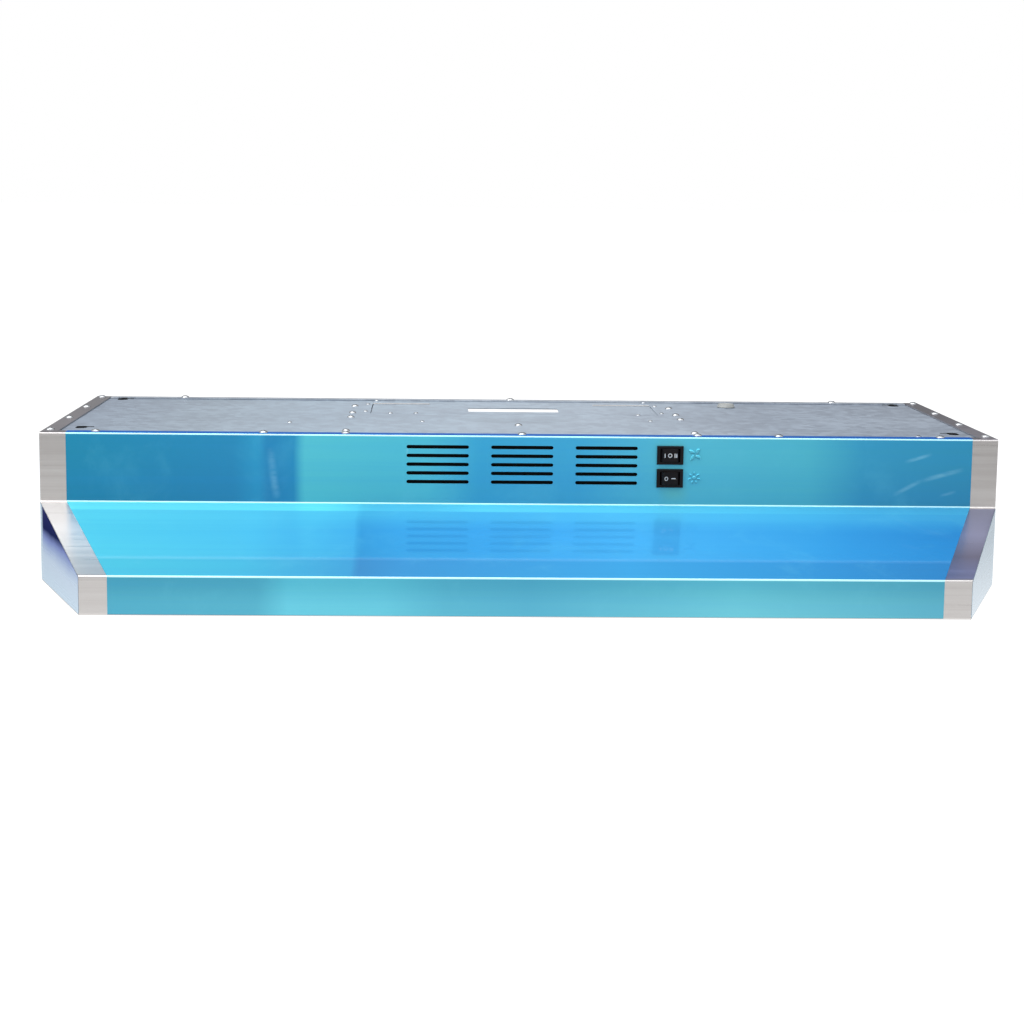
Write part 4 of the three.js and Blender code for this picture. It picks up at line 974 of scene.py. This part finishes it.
# ---- Filter mesh ----
def strand_tree():
    """Expanded metal: zigzag strands side by side that touch where they bend."""
    tree, start, end = geometry_tree(
        "expanded_metal",
        [
            ("Width", FLOAT, 0.28),
            ("Depth", FLOAT, 0.23),
            ("Diamond length", FLOAT, 0.008),
            ("Diamond height", FLOAT, 0.0045),
            ("Strand", FLOAT, 0.0005),
            ("Material", "NodeSocketMaterial", None),
        ],
    )
    out = start.outputs
    half_step = times(tree, out["Diamond length"], 0.5)
    count = maths(tree, "FLOOR", maths(tree, "DIVIDE", out["Width"], half_step))
    sway = times(tree, minus(tree, odd_one(tree), 0.5), times(tree, out["Diamond height"], 0.47))
    wavy = shifted(tree, point_line(tree, count, x=half_step), y=sway)
    path = add_node(tree, "GeometryNodeMeshToCurve", {"Mesh": wavy}).outputs[0]
    section = {"Width": out["Strand"], "Height": times(tree, out["Strand"], 1.7)}
    section = add_node(tree, "GeometryNodeCurvePrimitiveQuadrilateral", section).outputs[0]
    swept = {"Curve": path, "Profile Curve": section, "Fill Caps": True}
    strand = add_node(tree, "GeometryNodeCurveToMesh", swept).outputs[0]
    half_height = times(tree, out["Diamond height"], 0.5)
    rows = maths(tree, "FLOOR", maths(tree, "DIVIDE", out["Depth"], half_height))
    stations = point_line(tree, rows, y=half_height)
    stations = shifted(tree, stations, x=times(tree, odd_one(tree), half_step))
    sheet = copies(tree, stations, strand)
    close_tree(tree, copies(tree, out["Places"], sheet), out["Material"], end)
    return tree


EXPANDED = strand_tree()
for hand in HANDS:
    low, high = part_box(hand + "_filter_mesh")
    margin = 1.2 * MM
    lowest = (low.x + margin, low.y + margin, low.z + 0.8 * MM)
    places = [lowest, (lowest[0] + 1.7 * MM, lowest[1], low.z + 2.6 * MM)]
    values = {
        "Width": high.x - low.x - 2 * margin - 5 * MM,
        "Depth": high.y - low.y - 2 * margin,
        "Diamond length": 7.6 * MM,
        "Diamond height": 4.4 * MM,
        "Strand": 0.55 * MM,
        "Material": STRAND,
    }
    name = hand + "_mesh_layers"
    mesh = points_mesh(name, places)
    grown(name, mesh, EXPANDED, values, hand + "_filter", "aluminium", hand + "_filter_mesh")


# ---- Switch marks and embossed icons ----
PIVOT_Y = next(j["pos_m"][1] for j in frame["joints"] if j["name"] == "fan_rocker_tilt")
VALLEY = 3.8 * MM  # from a rocker's pivot to the bottom of its V
V_SLOPE = 1.5 / math.sqrt(7.6 ** 2 - 5.3 ** 2)
FAN_AT, LAMP_AT = (0.1373, 0.1042), (0.137, 0.0854)  # the middles of the two icons


def plates(name, outlines, thickness, material, bevel=0.0):
    """Flat outlines in (x, z), in metres, each given a thickness towards -Y from the plane y = 0.

    The outlines run anticlockwise as seen from the front, so that every face points outwards.
    """
    verts, faces = [], []
    for outline in outlines:
        count = len(outline)
        back = list(range(len(verts), len(verts) + count))
        verts += [(x, 0, z) for x, z in outline] + [(x, -thickness, z) for x, z in outline]
        faces += [back[::-1], [i + count for i in back]]
        faces += [[i + count, i, j, j + count] for i, j in zip(back, back[1:] + back[:1])]
    mesh = bpy.data.meshes.new(name)
    mesh.from_pydata(verts, [], faces)
    mesh.materials.append(material)
    obj = new_object(name, mesh)
    if bevel:
        eased = obj.modifiers.new("eased", "BEVEL")
        eased.width = bevel
        eased.segments = 3
        as_plain_mesh(obj)
        obj.data.polygons.foreach_set("use_smooth", [True] * len(obj.data.polygons))
    lay_grain(obj.data)
    return obj


def bar(x, z, width, height):
    left, right, bottom, top = x - width / 2, x + width / 2, z - height / 2, z + height / 2
    return [(left, bottom), (right, bottom), (right, top), (left, top)]


def ring_parts(x, z, outer, inner, pieces=12):
    """A ring as a chain of quads that meet edge to edge."""
    parts = []
    for i in range(pieces):
        a, b = (2 * math.pi * k / pieces for k in (i, i + 1.02))
        corners = ((inner, a), (outer, a), (outer, b), (inner, b))
        parts.append([(x + r * math.cos(t), z + r * math.sin(t)) for r, t in corners])
    return parts


def switch_marks(name, outlines, rocker, tilt):
    """White marks on a rocker's shallow V, which has to be followed by the pieces on each half."""
    low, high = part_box(rocker)
    pivot = Vector(((low.x + high.x) / 2, PIVOT_Y, (low.z + high.z) / 2))
    obj = plates(name, outlines, 0.12 * MM, MARK)
    for vertex in obj.data.vertices:
        vertex.co.y -= VALLEY + abs(vertex.co.x) * V_SLOPE
    obj.data.transform(Matrix.Translation(pivot) @ Matrix.Rotation(math.radians(tilt), 4, "Z"))
    return obj


fan_marks = [bar(x * MM, 0, 0.7 * MM, 3.2 * MM) for x in (-4.4, 3.5, 4.9)]
fan_marks += ring_parts(-0.3 * MM, 0, 1.75 * MM, 1.15 * MM)
settle(switch_marks("fan_marks", fan_marks, "fan_switch_rocker", 0), "fan_rocker", "white_plastic")
light_marks = ring_parts(-3.9 * MM, 0, 1.65 * MM, 1.1 * MM) + [bar(2.1 * MM, 0, 3.2 * MM, 0.7 * MM)]
settle(switch_marks("light_marks", light_marks, "light_switch_rocker", 9), "light_rocker", "white_plastic")


def leaf(x, z, angle, length, width, bend=0.0, start=0.0, steps=8):
    """A leaf-shaped outline that starts near (x, z) and points along angle, bent to one side."""
    side_a, side_b = [], []
    for i in range(steps + 1):
        t = i / steps
        along = start + length * t
        swell = width * math.sin(math.pi * (0.12 + 0.88 * t)) ** 0.8 / 2
        drift = bend * math.sin(math.pi * t / 2) * length
        for points, offset in ((side_a, drift + swell), (side_b, drift - swell)):
            points.append((x + along * math.cos(angle) - offset * math.sin(angle),
                           z + along * math.sin(angle) + offset * math.cos(angle)))
    return side_b + side_a[::-1]


def disc(x, z, radius, steps=20):
    turns = [2 * math.pi * i / steps for i in range(steps)]
    return [(x + radius * math.cos(t), z + radius * math.sin(t)) for t in turns]


def embossed(name, outlines):
    obj = plates(name, outlines, 0.9 * MM, EMBOSSED, 0.55 * MM)
    obj.data.transform(Matrix.Translation((0, FILM_FACE_Y, 0)))
    settle(obj, "canopy", "blue_film")


blades = [math.radians(a) for a in (35, 125, 215, 305)]
embossed("fan_icon", [leaf(*FAN_AT, turn, 4.6 * MM, 2.9 * MM, 0.32, 1.1 * MM) for turn in blades])
rays = [math.radians(90 + 360 / 7 * k) for k in range(7)]
lamp_icon = [disc(*LAMP_AT, 1.5 * MM)]
lamp_icon += [leaf(*LAMP_AT, turn, 2.7 * MM, 1.5 * MM, 0, 2.5 * MM) for turn in rays]
embossed("lamp_icon", lamp_icon)


# ---- Room ----
FLOOR_Z, FLOOR_HALF = -0.24, 60.0


def build_floor():
    """A plain white floor, low enough for the filters to hang open above it, and clear when seen from below.

    In reflections it is dimmer where it is further from the hood.
    """
    mesh = bpy.data.meshes.new("floor")
    corners = bar(0, 0, 2 * FLOOR_HALF, 2 * FLOOR_HALF)
    mesh.from_pydata([(x, y, FLOOR_Z) for x, y in corners], [], [(0, 1, 2, 3)])
    floor = new_object("floor", mesh)
    glow = {"Emission_Color": (1, 1, 1, 1), "Specular_IOR_Level": 0.1}
    material, tree, shader = new_material("floor", Roughness=0.8, **glow)
    x, y, _ = axes(tree, own_place(tree))
    ahead = spread(tree, y, -2.2, -1.6, 0.38, 0.95)
    aside = spread(tree, maths(tree, "ABSOLUTE", x), 0.8, 1.2, 1.0, 0.55)
    dim = times(tree, ahead, aside)
    mirrored = add_node(tree, "ShaderNodeLightPath").outputs["Is Glossy Ray"]
    level = minus(tree, 1.0, times(tree, mirrored, minus(tree, 1.0, dim)))
    plain = mix(tree, noise(tree, own_place(tree), 1.5, 2.0), grey(0.20), grey(0.23))
    tree.links.new(tinted(tree, plain, grey_of(tree, level)), shader.inputs["Base Color"])
    tree.links.new(times(tree, level, 0.92), shader.inputs["Emission Strength"])
    clear = add_node(tree, "ShaderNodeBsdfTransparent")
    below = add_node(tree, "ShaderNodeNewGeometry").outputs["Backfacing"]
    either = add_node(tree, "ShaderNodeMixShader", {0: below, 1: shader.outputs[0], 2: clear.outputs[0]})
    output = next(n for n in tree.nodes if n.type == "OUTPUT_MATERIAL")
    tree.links.new(either.outputs[0], output.inputs["Surface"])
    mesh.materials.append(material)


def area_light(name, place, target, size, power, colour=(1, 1, 1)):
    data = bpy.data.lights.new(name, "AREA")
    data.shape = "RECTANGLE"
    data.size, data.size_y = size
    data.energy = power
    data.color = colour
    light = bpy.data.objects.new(name, data)
    light.location = place
    light.rotation_euler = (Vector(target) - Vector(place)).to_track_quat("-Z", "Y").to_euler()
    bpy.context.scene.collection.objects.link(light)


def build_world():
    """A plain white surround to look at.

    In reflections it is a pale room that is dim at the back and to the right.
    """
    world = bpy.data.worlds.new("studio")
    bpy.context.scene.world = world
    world.use_nodes = True
    tree = world.node_tree
    tree.nodes.clear()
    direction = add_node(tree, "ShaderNodeTexCoord").outputs["Generated"]
    x, y, z = axes(tree, direction)
    across = spread(tree, x, -0.25, 0.35, 0.52, 0.2)
    glow = spread(tree, maths(tree, "ABSOLUTE", x), 0.02, 0.25, 0.75, 0.25)
    high = spread(tree, z, 0.16, 0.45)
    at_back = plus(tree, times(tree, across, high), times(tree, glow, minus(tree, 1.0, high)))
    rear = spread(tree, y, 0.1, 0.6)
    away = minus(tree, 1.0, rear)
    level = plus(tree, times(tree, at_back, rear), times(tree, away, 0.95))
    level = plus(tree, level, spread(tree, z, 0.6, 0.9, 0.0, 0.4))
    pale = {"Color": (0.97, 0.98, 1.0, 1), "Strength": level}
    room = add_node(tree, "ShaderNodeBackground", pale).outputs[0]
    plain = add_node(tree, "ShaderNodeBackground", {"Color": (1, 1, 1, 1), "Strength": 1.0}).outputs[0]
    seen = add_node(tree, "ShaderNodeLightPath").outputs["Is Camera Ray"]
    both = add_node(tree, "ShaderNodeMixShader", {0: seen, 1: room, 2: plain}).outputs[0]
    add_node(tree, "ShaderNodeOutputWorld", {"Surface": both})


build_floor()
build_world()
area_light("overhead", (-0.4, -0.4, 2.6), (0, 0, 0), (2.4, 2.0), 42)
area_light("left_window", (-2.4, -1.6, 1.4), (0, 0, 0.1), (1.0, 1.8), 22, (1, 0.97, 0.93))
bpy.context.scene.view_settings.view_transform = "Standard"
